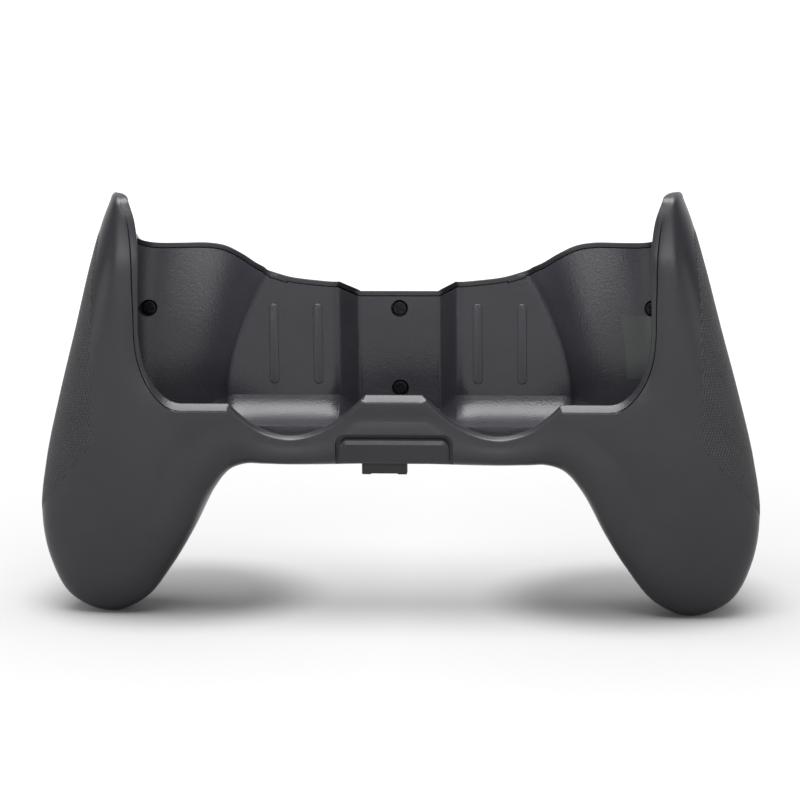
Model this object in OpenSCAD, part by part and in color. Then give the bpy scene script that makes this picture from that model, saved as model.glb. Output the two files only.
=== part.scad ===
// Two-handled grip cradle: a handheld screen slides in between two fins from above,
// rests on the floor and the two back blocks, and is locked by a slider under the bridge.
// Millimetres. +X right, +Z up, the front faces -Y. Depths are counted from the screen's
// front face (depth 0, positive to the back) and moved to the frame by depth_shift.

/* [Overall outline] */
// Half width over the handles at their widest
grip_half = 119.6; // [117:0.1:123]
// Height of the widest point
grip_widest_z = 33.5; // [30:0.5:37]
// Middle of a handle's foot, in from the widest point
foot_in = 22.3; // [20:0.1:25]
// Fin tip, out from the slot's wall
fin_out = 4; // [3:0.1:5.5]
// Height of the fin tips
fin_z = 141.7; // [139:0.1:145]
// Where the bridge's underside turns into the handle
crotch_x = 50.5; // [48:0.5:53]
// Underside of the bridge
bridge_z = 52.3; // [51.5:0.1:53.5]

/* [Screen slot] */
// Half width of the slot between the fins' inner walls
slot_half = 88.2; // [87:0.1:89.5]
// From the screen's front face to the blocks that carry it
slot_depth = 17; // [16:0.5:18]
// Floor that the screen stands on
floor_z = 64.8; // [64.2:0.1:65.6]
// How far the lips reach over the screen's front
lip_hold = 4.5; // [4:0.1:5.5]

/* [Front wall] */
// Top of the low front wall beside the dips
lip_z = 73.3; // [72:0.1:75]
// Half width of the raised middle at its top
trap_half = 9.3; // [8:0.1:11]
// Top of the raised middle
trap_z = 76.4; // [75:0.1:78.5]
// Lowest point of the thumb dips, from the centre
dip_x = 34.8; // [33:0.1:37]
// Height of that point
dip_z = 62.8; // [61.8:0.1:64.5]
// Outer end of the dips
dip_end_x = 54.5; // [52.5:0.1:57]
// Chamfer along the lips
lip_chamfer = 2.3; // [1.8:0.1:2.8]
// Where the lip starts to turn up into the fin
corner_x = 70; // [68:0.5:72]
// Where that turn ends
corner_z = 97; // [94:0.5:100]

/* [Back wall] */
// Top of the back wall behind the channels
rim_z = 122.1; // [120:0.1:124]
// Top of the back wall behind the blocks
block_top_z = 110.9; // [109:0.1:112.5]
// Top of the back wall at the spine
spine_top_z = 106.4; // [104.7:0.1:107.7]
// Half width of the recessed spine
spine_half = 13.5; // [12:0.1:15]
// From the spine's face to the outside of the back wall
spine_back = 9; // [8:0.1:10]
// Inner edge of a block's face
block_in_x = 20; // [18.5:0.1:21.5]
// Outer edge of a block's face at the floor
block_out_low = 57.2; // [55:0.1:60]
// And at the top
block_out_top = 45.3; // [43:0.1:48]
// From the deepest line of the channels to the outside of the back wall
channel_back = 6.5; // [5.5:0.1:8]
// Concave turn from the blocks into the floor
floor_fillet = 13; // [11:0.5:13.5]
// Flange of the rear shell over the liner
rim_thick = 1.7; // [1.4:0.1:2]
// Outside of the back wall
back_depth = 35; // [34:0.1:37]
// Fall of the top flange to the back, per millimetre
back_fall = 0.26; // [0.2:0.01:0.3]
// How much further the handles bulge to the back
palm_bulge = 6; // [3:0.5:8]

/* [Grip skins] */
// How far the textured skins reach in from the widest point
skin_reach = 20; // [18.3:0.1:21.3]
// Thickness of the skins
skin_thick = 0.45; // [0.3:0.05:0.6]
// Glue line under the skins
skin_gap = 0.3; // [0.25:0.05:0.4]

/* [Lock] */
// Slide from locked (rest, left) to open
lock_travel = 6.5; // [5:0.1:7]
// Length of the lock's knob
knob_length = 14.9; // [13:0.1:16]
// Width of the knob
knob_width = 3.6; // [3:0.1:4]
// How far the knob stands below the bridge
knob_drop = 3.4; // [3:0.1:4.5]
// Depth of the slider's middle line
lock_depth = 4.9; // [4.5:0.1:5.2]
// Thickness of the latch bar
bar_thick = 2.6; // [2.2:0.1:2.8]
// Hooks above the floor
hook_rise = 4.6; // [4:0.1:5]
// Running gap round the sliding parts
slide_gap = 0.2; // [0.15:0.05:0.3]

/* [Screws and inner parts] */
// Clearance hole for a screw
screw_bore = 2.6; // [2.4:0.1:2.8]
// Head diameter
screw_head = 5.0; // [4.6:0.1:5.2]
// Diameter of the recess round a head
counterbore = 5.8; // [5.6:0.1:6]
// Hole that a screw cuts its thread in
pilot_bore = 2.1; // [2:0.1:2.2]
// Thickness of the board
board_thick = 1.2; // [1:0.1:1.6]
// Width of a cell
cell_w = 21; // [16:0.5:22]
// Thickness of a cell
cell_t = 8; // [6:0.5:9]
// Height of a cell
cell_h = 27; // [20:0.5:28]

/* [Walls and fits] */
// Shells
wall = 2.4; // [2:0.1:2.6]
// Cradle liner
liner_wall = 2; // [1.6:0.1:2.2]
// Gap between two mating rims
seam = 0.15; // [0.1:0.05:0.2]
// Depth of the shells' parting line
part_depth = 11; // [10.5:0.1:12]
// Back edge of the lip chamfer
lip_depth = -1.3; // [-1.5:0.1:-1.1]
// Inner face of the front wall
lip_back = -0.3; // [-0.4:0.05:-0.2]

/* [Hidden] */
$fn = 48;
rib_steps = 2;           // lofted ribs between two stations
sec_steps = 9;           // facets across a shell's section
depth_shift = -15.83;    // brings the middle of the depth to y = 0

plastic = [0.24, 0.25, 0.27];
liner_grey = [0.20, 0.21, 0.23];
skin_grey = [0.17, 0.18, 0.20];
black = [0.08, 0.08, 0.09];
steel = [0.55, 0.56, 0.58];
board_green = [0.10, 0.30, 0.18];
cell_silver = [0.62, 0.64, 0.67];

// Curve helpers
function clamp(t) = max(0, min(1, t));
function smooth(t) = let (u = clamp(t)) u * u * (3 - 2 * u);
function mix(a, b, t) = a + (b - a) * t;
function unit(v) = v / max(norm(v), 1e-9);
function flat(v) = [v[0], v[2]];
// A curve through the points, with a crisp corner at the stations named in crisp
function spline(p, i, t, crisp = []) =
    let (a = p[max(i - 1, 0)], b = p[i], c = p[min(i + 1, len(p) - 1)], d = p[min(i + 2, len(p) - 1)],
         kb = max(pow(norm(b - a), 0.5), 1e-3), kc = max(pow(norm(c - b), 0.5), 1e-3),
         kd = max(pow(norm(d - c), 0.5), 1e-3),
         mb = i == 0 || len(search(i, crisp)) > 0 ? c - b
             : kc * ((b - a) / kb - (c - a) / (kb + kc) + (c - b) / kc),
         mc = i >= len(p) - 2 || len(search(i + 1, crisp)) > 0 ? c - b
             : kc * ((c - b) / kc - (d - b) / (kc + kd) + (d - c) / kd))
    b * (2 * t * t * t - 3 * t * t + 1) + mb * (t * t * t - 2 * t * t + t)
    + c * (3 * t * t - 2 * t * t * t) + mc * (t * t * t - t * t);
function along(p, s, crisp = []) = let (i = min(floor(s), len(p) - 2)) spline(p, i, s - i, crisp);

// Stations of the loft: the lip, the parting edge and the back rim, from the middle to the fin tip
lip_x = slot_half - lip_hold;
spine_depth = back_depth - spine_back;
channel_depth = back_depth - channel_back;
fin_tip_x = slot_half + fin_out;
foot_x = grip_half - foot_in;
skin_in_x = grip_half - skin_reach;
function dip(x) = x < dip_x
    ? dip_z + (trap_z - dip_z) * pow(max(0, (dip_x - x) / (dip_x - trap_half)), 2)
    : dip_z + (lip_z - dip_z) * pow(min(1, (x - dip_x) / (dip_end_x - dip_x)), 2);
function corner(a) = [mix(corner_x, lip_x, sin(a)), lip_depth, mix(corner_z, lip_z, cos(a))];
fin_bend_z = fin_z - 18;             // above this the lip leans back and out to the tip
function fin_lip(z) = let (u = max(0, (z - fin_bend_z) / (fin_z - fin_bend_z)))
    [lip_x + 0.9 * (z - corner_z) / (fin_bend_z - corner_z) + (fin_tip_x - 3.6 - lip_x) * pow(u, 1.7),
     lip_depth + 2.2 * smooth((z - fin_z + 34) / 16) + 11.4 * pow(u, 1.2), z];
lip_rise = fin_z - corner_z;
lips = concat(
    [[0, lip_depth, trap_z], [trap_half, lip_depth, trap_z]],
    [for (f = [0.62, 0.3, 0]) let (x = mix(dip_x, trap_half, f)) [x, lip_depth, dip(x)]],
    [for (f = [0.44, 0.77]) let (x = mix(dip_x, dip_end_x, f)) [x, lip_depth, dip(x)]],
    [for (f = [0, 0.36, 0.74]) [mix(dip_end_x, corner_x, f), lip_depth, lip_z]],
    [for (a = [8, 24, 38, 50, 62, 74, 90]) corner(a)],
    [for (f = [0.17, 0.34, 0.56, 0.8]) fin_lip(corner_z + f * lip_rise)], [fin_lip(fin_z - 0.7)]);
edges = [[0, part_depth, bridge_z], [trap_half, part_depth, bridge_z],
    [mix(dip_x, trap_half, 0.62), part_depth, bridge_z], [mix(dip_x, trap_half, 0.3), part_depth, bridge_z],
    [dip_x, part_depth, bridge_z], [mix(dip_x, crotch_x, 0.56), part_depth, bridge_z],
    [crotch_x - 1, part_depth, bridge_z - 0.3], [crotch_x + 5, part_depth, bridge_z - 2.8],
    [crotch_x + 11, part_depth, bridge_z - 10.3], [foot_x - 28.6, part_depth, bridge_z - 24.3],
    [foot_x - 21.3, part_depth, 16], [foot_x - 12, part_depth, 4.6], [foot_x, part_depth, 0],
    [foot_x + 13, part_depth, 5.3], [grip_half - 2.6, part_depth, grip_widest_z - 16],
    [grip_half, part_depth, grip_widest_z], [grip_half - 2.3, part_depth, grip_widest_z + 19.2],
    [grip_half - 7.4, part_depth, grip_widest_z + 41], [grip_half - 13.2, part_depth, grip_widest_z + 62.7],
    [fin_tip_x + 8.6, part_depth, fin_z - 24], [fin_tip_x + 4.3, part_depth + 1, fin_z - 9.5],
    [fin_tip_x + 1.4, part_depth + 2.5, fin_z]];
rims = concat([[0, 0, spine_top_z], [spine_half, 0, spine_top_z], [block_in_x + 0.2, 0, block_top_z],
    [block_in_x + 6, 0, block_top_z + 0.3], [block_out_top - 10, 0, block_top_z + 1.1],
    [block_out_top - 2, 0, mix(block_top_z, rim_z, 0.33)],
    [block_out_top + 3.1, 0, mix(block_top_z, rim_z, 0.52)],
    [block_out_top + 7, 0, mix(block_top_z, rim_z, 0.68)], [block_out_top + 13.3, 0, rim_z - 0.9],
    [block_out_top + 19, 0, rim_z], [slot_half - 16, 0, rim_z + 0.1], [slot_half - 12, 0, rim_z + 0.2],
    [slot_half - 8.5, 0, rim_z + 0.4], [slot_half - 5.5, 0, rim_z + 0.9]],
    [for (v = [[-3, 0.1], [-1.2, 0.18], [0, 0.28], [1, 0.42], [1.9, 0.56], [2.6, 0.72]])
        [slot_half + v[0], 0, mix(rim_z, fin_z, v[1])]],
    [[fin_tip_x - 0.6, 0, fin_z - 2.6], [fin_tip_x, 0, fin_z - 0.5]]);
front_n = [for (n = [4.2, 4.2, 4.2, 4.2, 4.2, 4, 3.6, 3.2, 2.8, 2.6, 2.5, 2.4, 2.4, 2.4, 2.3, 2.3, 2.3, 2.2,
    2.2, 2.2, 2.1, 2]) [n]];
rear_n = [for (n = [6, 6, 6, 6, 6, 5.6, 5, 4.2, 3.5, 3.1, 2.8, 2.6, 2.5, 2.5, 2.5, 2.5, 2.5, 2.5, 2.4, 2.4,
    2.3, 2.2]) [n]];
last = len(lips) - 1;
function lip(s) = along(lips, s, [1, 7]);
function edge(s) = along(edges, s);
function rim(s) = along(rims, s, [1, 2]);
function edge_in(s) = let (t = unit(flat(edge(min(s + 0.1, last))) - flat(edge(max(s - 0.1, 0)))))
    [-t[1], 0, t[0]];

// The band under the crease of the front wall swells forward and runs out along the handles
crease = [[0, lip_z - 4.8], [crotch_x, lip_z - 4.8], [crotch_x + 11.5, lip_z - 8.3],
    [crotch_x + 16.5, lip_z - 13.3], [crotch_x + 21.5, lip_z - 18.3], [crotch_x + 25, lip_z - 23.3],
    [crotch_x + 30.5, lip_z - 36.3], [crotch_x + 42.5, lip_z - 53.3]];
band_swell = 2.4;
function swell(x, z) = let (s = (lookup(x, crease) - z) * mix(1, 0.6, smooth((x - crotch_x + 8) / 16)))
    band_swell * smooth(s / 9) * (1 - smooth((x - crotch_x - 15) / 24))
    - (s < 0 ? 0.5 * smooth(1 + s / 6) : 0.5 * (1 - smooth(s / 4)))
        * (1 - smooth((x - crotch_x - 22) / 18));

// Section of the front shell along one rib: lip, chamfer, then a superellipse to the parting edge.
// off > 0 lies inside the shell, off < 0 outside it. Towards the fin tip the wall thins with the fin.
function thinned(s, from, off) = off > 0 ? min(off, 0.3 * norm(flat(edge(s)) - flat(from))) : off;
// The chamfer is full on the level lips and narrow on the slopes of the dips.
chamfer_share = [[0, 1], [1, 1], [1.12, 0.2], [2, 0.45], [3, 0.65], [4, 0.72], [5, 0.6], [6, 0.3],
    [6.88, 0.2], [7, 1]];
function front_pt(s, a, off) =
    let (p = lip(s), q0 = edge(s), q = q0 + edge_in(s) * thinned(s, p, off),
         d = unit([q0[0] - p[0], 0, q0[2] - p[2]]), c0 = min(lip_chamfer, 0.3 * norm(flat(q0) - flat(p))),
         c = c0 * lookup(s, chamfer_share),
         y1 = off > 0 ? p[1] + lip_back - lip_depth : p[1] - 0.87 * c0 + off,
         k = 2 / along(front_n, s)[0], t = pow(sin(a), k), h = pow(cos(a), k),
         x = mix(p[0] + d[0] * c, q[0], t), z = mix(p[2] + d[2] * c, q[2], t))
    [x, q0[1] - (q0[1] - y1) * h - (off > 0 ? 0 : swell(x, z) * h), z];
function front_rib(s, off) = let (p = lip(s))
    concat([off > 0 ? [p[0], p[1] + lip_back - lip_depth, p[2]] : p],
        [for (j = [0 : sec_steps]) front_pt(s, 90 * j / sec_steps, off)]);

// The cradle's inside: spine, blocks, half-pipe channels and the fins' inner walls
function block_out(z) = block_out_low - (block_out_low - block_out_top)
    * pow(max(0, (z - floor_z - 10) / (block_top_z - floor_z - 9.5)), 1.6);
function slot_wall(z) = z < corner_z ? slot_half : let (u = max(0, (z - fin_bend_z) / (fin_z - fin_bend_z)))
    fin_lip(z)[0] + lip_hold * (1 - 0.7 * clamp(u));
function pipe(x, z) = let (b = block_out(z), m = (b + slot_half) / 2, r = (slot_half - b) / 2)
    slot_depth + (channel_depth - slot_depth) * sqrt(max(0, 1 - pow((x - m) / r, 2)));
function cradle_depth(x, z) = x < spine_half ? spine_depth
    : x < block_in_x ? mix(spine_depth, slot_depth, (x - spine_half) / (block_in_x - spine_half))
    : x < block_out(z) ? slot_depth : x < slot_half ? pipe(x, z) : slot_depth;

// Section of the rear shell along one rib: top flange, then a superellipse to the parting edge
function palm(x, z) = palm_bulge * exp(-pow((x - foot_x) / 24, 2) - pow((z - 42) / 34, 2));
function fin_share(s) = smooth((s / last - 0.6) / 0.4);
function flange_in(s, off) =
    let (b0 = rim(s), t = unit(flat(rim(min(s + 0.1, last))) - flat(rim(max(s - 0.1, 0)))))
    b0 + [t[1], 0, -t[0]] * thinned(s, b0, min(off, rim_thick));
function flange_y(s) = mix(cradle_depth(rim(s)[0], rim(s)[2]), edge(s)[1] + 0.5, fin_share(s));
function rear_pt(s, a, off) =
    let (q0 = edge(s), q = q0 + edge_in(s) * thinned(s, rim(s), off), f = fin_share(s),
         yb = mix(back_depth, q0[1] + 1.2, pow(f, 1.4)) - off * (1 - f * 0.7),
         b = flange_in(s, off) - [0, 0, back_fall * (1 - f) * max(0, yb - flange_y(s))],
         k = 2 / along(rear_n, s)[0], t = pow(sin(a), k), h = pow(cos(a), k),
         x = mix(b[0], q[0], t), z = mix(b[2], q[2], t))
    [x, q0[1] + seam + (yb - q0[1] - seam + palm(x, z)) * h, z];
function rear_rib(s, off) = let (b = flange_in(s, off))
    concat([[b[0], flange_y(s), b[2]]], [for (j = [0 : sec_steps]) rear_pt(s, 90 * j / sec_steps, off)]);

function mirrored(v) = [-v[0], v[1], v[2]];
function both_halves(half) =
    concat([for (i = [len(half) - 1 : -1 : 1]) [for (v = half[i]) mirrored(v)]], half);
function steps(a, b, n) = [for (i = [0 : n]) mix(a, b, i / n)];

// Closed solid between an outer and an inner sheet of points with the same rows and columns.
// From the share turn_from of its rows on, the facets are split along the other diagonal.
module sheet_solid(outer, inner, turn_from = 0.5) {
    n = len(outer);
    m = len(outer[0]);
    s = n * m;
    pts = [for (g = [outer, inner]) for (r = g) for (v = r) v + [0, depth_shift, 0]];
    function quad(a, b, c, d, turned = false) = turned ? [[b, c, d], [b, d, a]] : [[a, b, c], [a, c, d]];
    faces = concat(
        [for (i = [0 : n - 2]) for (j = [0 : m - 2])
            for (f = quad(i*m+j, (i+1)*m+j, (i+1)*m+j+1, i*m+j+1, i >= turn_from * (n - 1))) f],
        [for (i = [0 : n - 2]) for (j = [0 : m - 2])
            for (f = quad(s+i*m+j, s+i*m+j+1, s+(i+1)*m+j+1, s+(i+1)*m+j, i >= turn_from * (n - 1))) f],
        [for (i = [0 : n - 2]) for (f = quad(i*m, s+i*m, s+(i+1)*m, (i+1)*m)) f],
        [for (i = [0 : n - 2]) for (f = quad(i*m+m-1, (i+1)*m+m-1, s+(i+1)*m+m-1, s+i*m+m-1)) f],
        [for (j = [0 : m - 2]) for (f = quad(j, j+1, s+j+1, s+j)) f],
        [for (j = [0 : m - 2]) let (o = (n-1)*m) for (f = quad(o+j, s+o+j, s+o+j+1, o+j+1)) f]);
    polyhedron(points = pts, faces = faces, convexity = 8);
}
module at(x, y, z) translate([x, y + depth_shift, z]) children();
module cyl_y(x, z, y0, y1, d) at(x, y1, z) rotate([90, 0, 0]) cylinder(h = y1 - y0, d = d);
module prism_y(x, z, y0, y1) at(x, y1, z) rotate([90, 0, 0]) linear_extrude(y1 - y0) children();
module box(x0, x1, y0, y1, z0, z1) at(x0, y0, z0) cube([x1 - x0, y1 - y0, z1 - z0]);
module pill(w, h) {
    square([w - h, h], center = true);
    for (s = [-1, 1]) translate([s * (w - h) / 2, 0]) circle(d = h);
}

// Depth of the outer shell surfaces at a place in the front view, from samples of the loft
front_samples = [for (s = steps(6, last, 60)) for (a = steps(0, 90, 30)) front_pt(s, a, 0)];
rear_samples = [for (s = steps(6, last, 60)) for (a = steps(0, 90, 30)) rear_pt(s, a, 0)];
function depth_at(samples, x, z) = let (d = [for (v = samples) norm([v[0] - x, v[2] - z])], m = min(d))
    samples[search(m, d)[0]][1];

// Screw places
spine_screw_z = [spine_top_z - 5.8, floor_z + 8.8];
spine_seat = spine_depth + 2.2;
side_screw_x = slot_half - 4;
side_screw_z = rim_z - 21.2;
side_seat = pipe(side_screw_x, side_screw_z) + 3.2;
boss_top = back_depth - wall - 2.2;          // where liner bosses meet the rear shell's bosses
handle_screw_low = [foot_x, 21];
handle_screw_high = [foot_x + 4.5, bridge_z + 10];
handle_seat = part_depth + 13;
boss_gap = 0.1;
front_low = depth_at(front_samples, handle_screw_low[0], handle_screw_low[1]);
front_high = depth_at(front_samples, handle_screw_high[0], handle_screw_high[1]);
rear_low = depth_at(rear_samples, handle_screw_low[0], handle_screw_low[1]);
rear_high = depth_at(rear_samples, handle_screw_high[0], handle_screw_high[1]);
rear_side = depth_at(rear_samples, side_screw_x, side_screw_z);

// Front shell
inner_z = bridge_z + wall;                   // inside of the bridge's underside
bar_z = inner_z + 1.7;                       // underside of the latch bar
bar_y0 = lock_depth - 2.3;
bar_y1 = lock_depth + 2.5;
guide_z = bar_z + bar_thick + slide_gap;
guide_screw_x = 28;
knob_x0 = -(knob_length + lock_travel) / 2 - 0.5;      // rest: the left end of its slot
plate_half = 17.3;
plate_top_z = bridge_z + 8.9;
plate_tilt = 12;
plate_thick = 2.2;
plate_y = -2.6;                              // depth of the recess's floor at the plate's top
recess_margin = 2;
module plate_space(half, top, deep) at(0, plate_y, top) rotate([plate_tilt, 0, 0])
    translate([0, deep, 0]) rotate([90, 0, 0]) linear_extrude(12) intersection() {
        translate([-half, -16]) square([2 * half, 16]);
        union() {
            translate([-half, -16]) square([2 * half, 13.4]);
            translate([-half + 2.6, -16]) square([2 * half - 5.2, 16]);
            for (s = [-1, 1]) translate([s * (half - 2.6), -2.6]) circle(r = 2.6);
        }
    }
module front_shell() color(plastic) difference() {
    union() {
        sheet_solid(both_halves([for (s = steps(0, last, last * rib_steps)) front_rib(s, 0)]),
                    both_halves([for (s = steps(0, last, last * rib_steps)) front_rib(s, wall)]));
        for (m = [-1, 1]) {
            cyl_y(m * handle_screw_low[0], handle_screw_low[1], front_low + wall * 0.7,
                handle_seat - 2.2, 7);
            cyl_y(m * handle_screw_high[0], handle_screw_high[1], front_high + wall * 0.7,
                handle_seat - 2.2, 7);
            at(m * guide_screw_x, lock_depth, inner_z - 0.8) cylinder(h = guide_z - inner_z + 0.8, d = 5);
        }
    }
    for (m = [-1, 1]) for (p = [handle_screw_low, handle_screw_high])
        cyl_y(m * p[0], p[1], handle_seat - 16.5, handle_seat, pilot_bore);
    for (m = [-1, 1]) at(m * guide_screw_x, lock_depth, inner_z + 0.4) cylinder(h = 8, d = pilot_bore - 0.4);
    box(knob_x0 - slide_gap, knob_x0 + knob_length + lock_travel + slide_gap,
        lock_depth - knob_width / 2 - slide_gap, lock_depth + knob_width / 2 + slide_gap,
        bridge_z - 4, bar_z + 1);
    plate_space(plate_half + recess_margin, plate_top_z + 2.3, 0);
}

module front_plate() color(liner_grey) intersection() {
    plate_space(plate_half, plate_top_z, 0);
    at(0, plate_y, plate_top_z) rotate([plate_tilt, 0, 0]) translate([-plate_half, -plate_thick, -7.2])
        cube([2 * plate_half, plate_thick, 7.2]);
}

// Rear shell
function rim_over(x) = lookup(x, [for (s = steps(0, last, 42)) [rim(s)[0], rim(s)[2]]]);
tab_x = block_out_top - 5.8;                 // snap tabs over the blocks
tab_half = 3;
tab_z = rim_over(tab_x - tab_half) - rim_thick - 0.6;
socket_z = bar_z + board_thick + 1.6;
module rear_shell() color(plastic) difference() {
    union() {
        sheet_solid(both_halves([for (s = steps(0, last, last * rib_steps)) rear_rib(s, wall)]),
                    both_halves([for (s = steps(0, last, last * rib_steps)) rear_rib(s, 0)]));
        for (z = spine_screw_z) cyl_y(0, z, boss_top + boss_gap, back_depth - wall / 2, 6.4);
        for (m = [-1, 1]) {
            cyl_y(m * side_screw_x, side_screw_z, boss_top + boss_gap, rear_side - wall * 0.4, 8);
            cyl_y(m * handle_screw_low[0], handle_screw_low[1], handle_seat - 2, rear_low - wall * 0.6, 8.4);
            cyl_y(m * handle_screw_high[0], handle_screw_high[1], handle_seat - 2,
                rear_high - wall * 0.6, 8.4);
            box(m * tab_x - tab_half, m * tab_x + tab_half, slot_depth, slot_depth + liner_wall,
                tab_z, rim_over(tab_x) - rim_thick / 2);
        }
    }
    for (z = spine_screw_z) cyl_y(0, z, boss_top - 1, back_depth - 0.8, pilot_bore);
    for (m = [-1, 1]) {
        cyl_y(m * side_screw_x, side_screw_z, boss_top - 1, back_depth - wall + 0.4, pilot_bore);
        for (p = [handle_screw_low, handle_screw_high]) {
            cyl_y(m * p[0], p[1], handle_seat - 4, handle_seat + 1, screw_bore);
            cyl_y(m * p[0], p[1], handle_seat, back_depth + 12, counterbore);
        }
    }
    prism_y(0, socket_z, back_depth - 8, back_depth + 8) pill(9.6, 3.8);
}

// Cradle liner
floor_front = slot_depth - floor_fillet;       // the blocks' turns end at the floor's front edge
side_foot = 77;
function side_top(y) = min(
    lookup(y, [for (s = steps(last, 13, 24)) [flange_y(s), flange_in(s, wall)[2] - 0.8]]),
    lookup(y, [for (s = steps(16.5, last, 24)) [lip(s)[1] + 2.2, lip(s)[2]]]), fin_z - 10) - 1.4;
pipe_steps = 8;
side_steps = 4;
half_cols = 4 + pipe_steps + side_steps;
function col_at(j, z) = j == 0 ? [0, spine_depth] : j == 1 ? [spine_half, spine_depth]
    : j == 2 ? [block_in_x, slot_depth] : j == 3 ? [(block_in_x + block_out(z)) / 2, slot_depth]
    : j <= 4 + pipe_steps ? let (a = 180 * (j - 4) / pipe_steps, b = block_out(z), w = slot_wall(z))
        [(b + w) / 2 - (w - b) / 2 * cos(a), slot_depth + (channel_depth - slot_depth) * sin(a)]
    : [slot_wall(z), slot_depth * (1 - (j - 4 - pipe_steps) / side_steps) + 0.4];
function foot_at(j) = let (p = col_at(j, floor_z), k = max(0, j - 4 - pipe_steps))
    [p[0] < 60 ? p[0] : mix(60, side_foot, (p[0] - 60) / (slot_half - 60)) + 0.3 * k, floor_front - 0.4 * k];
wall_rows = 7;
spine_fillet = 3;                            // turn into the floor at the spine
channel_fillet = 10;                         // and in the channels
function turn(j) = j < 2 ? spine_fillet : j < 5 ? floor_fillet : channel_fillet;
function liner_top(j, z) = rim_over(col_at(j, z)[0]) - rim_thick * 1.2 - 0.7;    // under the flange
function liner_col(j) =
    let (f = foot_at(j), p0 = col_at(j, floor_z), d = unit(p0 - f), r = turn(j), z1 = floor_z + r,
         top = j <= 4 + pipe_steps - 1 ? liner_top(j, liner_top(j, liner_top(j, block_top_z)))
             : side_top(col_at(j, rim_z)[1]))
    concat([[f[0], f[1], floor_z]],
        [for (a = [0, 30, 60])
            let (z = z1 - r * cos(a), p = col_at(j, z) - d * r * (1 - sin(a)))
            [p[0], p[1], z]],
        [for (r = [0 : wall_rows]) let (z = mix(z1, top, r / wall_rows), p = col_at(j, z)) [p[0], p[1], z]]);
cradle = both_halves([for (j = [0 : half_cols]) liner_col(j)]);
function normal_at(g, i, j) = let (du = g[min(i + 1, len(g) - 1)][j] - g[max(i - 1, 0)][j],
    dv = g[i][min(j + 1, len(g[0]) - 1)] - g[i][max(j - 1, 0)]) unit(cross(dv, du));
function grown(g, by) =
    [for (i = [0 : len(g) - 1]) [for (j = [0 : len(g[0]) - 1]) g[i][j] + normal_at(g, i, j) * by]];
rest_rib_x = [26.5, 41.2];
rest_rib_z = [floor_z + 11.8, floor_z + 38.8];
rest_rib_w = 3.3;
rest_rib_rise = 0.5;
plug_y = bar_y1 + 3.2;
hook_x = [knob_x0 - 1.2, knob_x0 + knob_length + 4.6];
hook_w = 3;
post_x = 24;
post_y = 13;
post_top = floor_z + floor_fillet
    - sqrt(pow(floor_fillet + liner_wall / 2, 2) - pow(post_y - slot_depth + floor_fillet, 2));
module cradle_liner() color(liner_grey) difference() {
    union() {
        sheet_solid(grown(cradle, liner_wall), cradle);
        for (z = spine_screw_z) cyl_y(0, z, spine_depth + 0.8, boss_top, 9);
        for (m = [-1, 1]) {
            cyl_y(m * side_screw_x, side_screw_z, side_seat - 2, boss_top, 8);
            for (x = rest_rib_x) prism_y(m * x, 0, slot_depth - rest_rib_rise, slot_depth + 0.5)
                translate([0, (rest_rib_z[0] + rest_rib_z[1]) / 2]) rotate(90)
                    pill(rest_rib_z[1] - rest_rib_z[0], rest_rib_w);
            at(m * post_x, post_y, bar_z + board_thick + boss_gap)
                cylinder(h = post_top - bar_z - board_thick - boss_gap, d = 4.6);
        }
    }
    for (z = spine_screw_z) {
        cyl_y(0, z, slot_depth, spine_seat, counterbore);
        cyl_y(0, z, slot_depth, boss_top + 2, screw_bore);
    }
    for (m = [-1, 1]) {
        cyl_y(m * side_screw_x, side_screw_z, 2, side_seat, counterbore);
        cyl_y(m * side_screw_x, side_screw_z, 2, boss_top + 2, screw_bore);
        at(m * post_x, post_y, bar_z) cylinder(h = 6, d = pilot_bore - 0.4);
        box(m * tab_x - tab_half - 2 * seam, m * tab_x + tab_half + 2 * seam, slot_depth - 2, slot_depth + 6,
            tab_z - 2 * seam, block_top_z + 6);
    }
    box(-6.2, 6.2, plug_y - 2.8, plug_y + 2.8, floor_z - 6, floor_z + 3);
    at(0, spine_depth, spine_top_z - rim_thick - 0.4) rotate([-atan(back_fall), 0, 0])
        translate([-spine_half, -1, 0]) cube([2 * spine_half, 20, 8]);
    for (x = hook_x) box(x - hook_w / 2 - 0.4, x + hook_w / 2 + lock_travel + 0.4, lock_depth - 1.4,
        lock_depth + 1.4, floor_z - 6, floor_z + 3);
}

// Textured skins on the outer sides of the handles
skin_s = [15.2, 19.75];
function skin_start(s, p0x, q0x) = let (t = min(0.94, clamp((skin_in_x - p0x) / (q0x - p0x))),
    u = smooth((s - skin_s[0]) / 1.7)) mix(0.94, t, pow(u, 0.8));
function skin_row(s, off) = let (kf = 2 / along(front_n, s)[0], kr = 2 / along(rear_n, s)[0],
        tf = skin_start(s, lip(s)[0], edge(s)[0]), tr = skin_start(s, rim(s)[0], edge(s)[0]))
    concat([for (a = steps(asin(pow(tf, 1 / kf)), 90, 7)) front_pt(s, a, off)],
        [for (j = [1 : 11]) rear_pt(s, mix(90, asin(pow(max(tr, 0.5), 1 / kr)), j / 11), off)]);
module grip_skin(side) {
    rows = concat([skin_s[0]], steps(15.5, 19.5, 8), [skin_s[1]]);     // on the shells' own ribs
    order = side > 0 ? rows : [for (i = [len(rows) - 1 : -1 : 0]) rows[i]];
    function sided(r) = [for (v = r) [side * v[0], v[1], v[2]]];
    sheet_solid([for (s = order) sided(skin_row(s, -skin_gap - skin_thick))],
                [for (s = order) sided(skin_row(s, -skin_gap))], side > 0 ? 0 : 1);
}
module left_grip_skin() color(skin_grey) grip_skin(-1);
module right_grip_skin() color(skin_grey) grip_skin(1);

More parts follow.
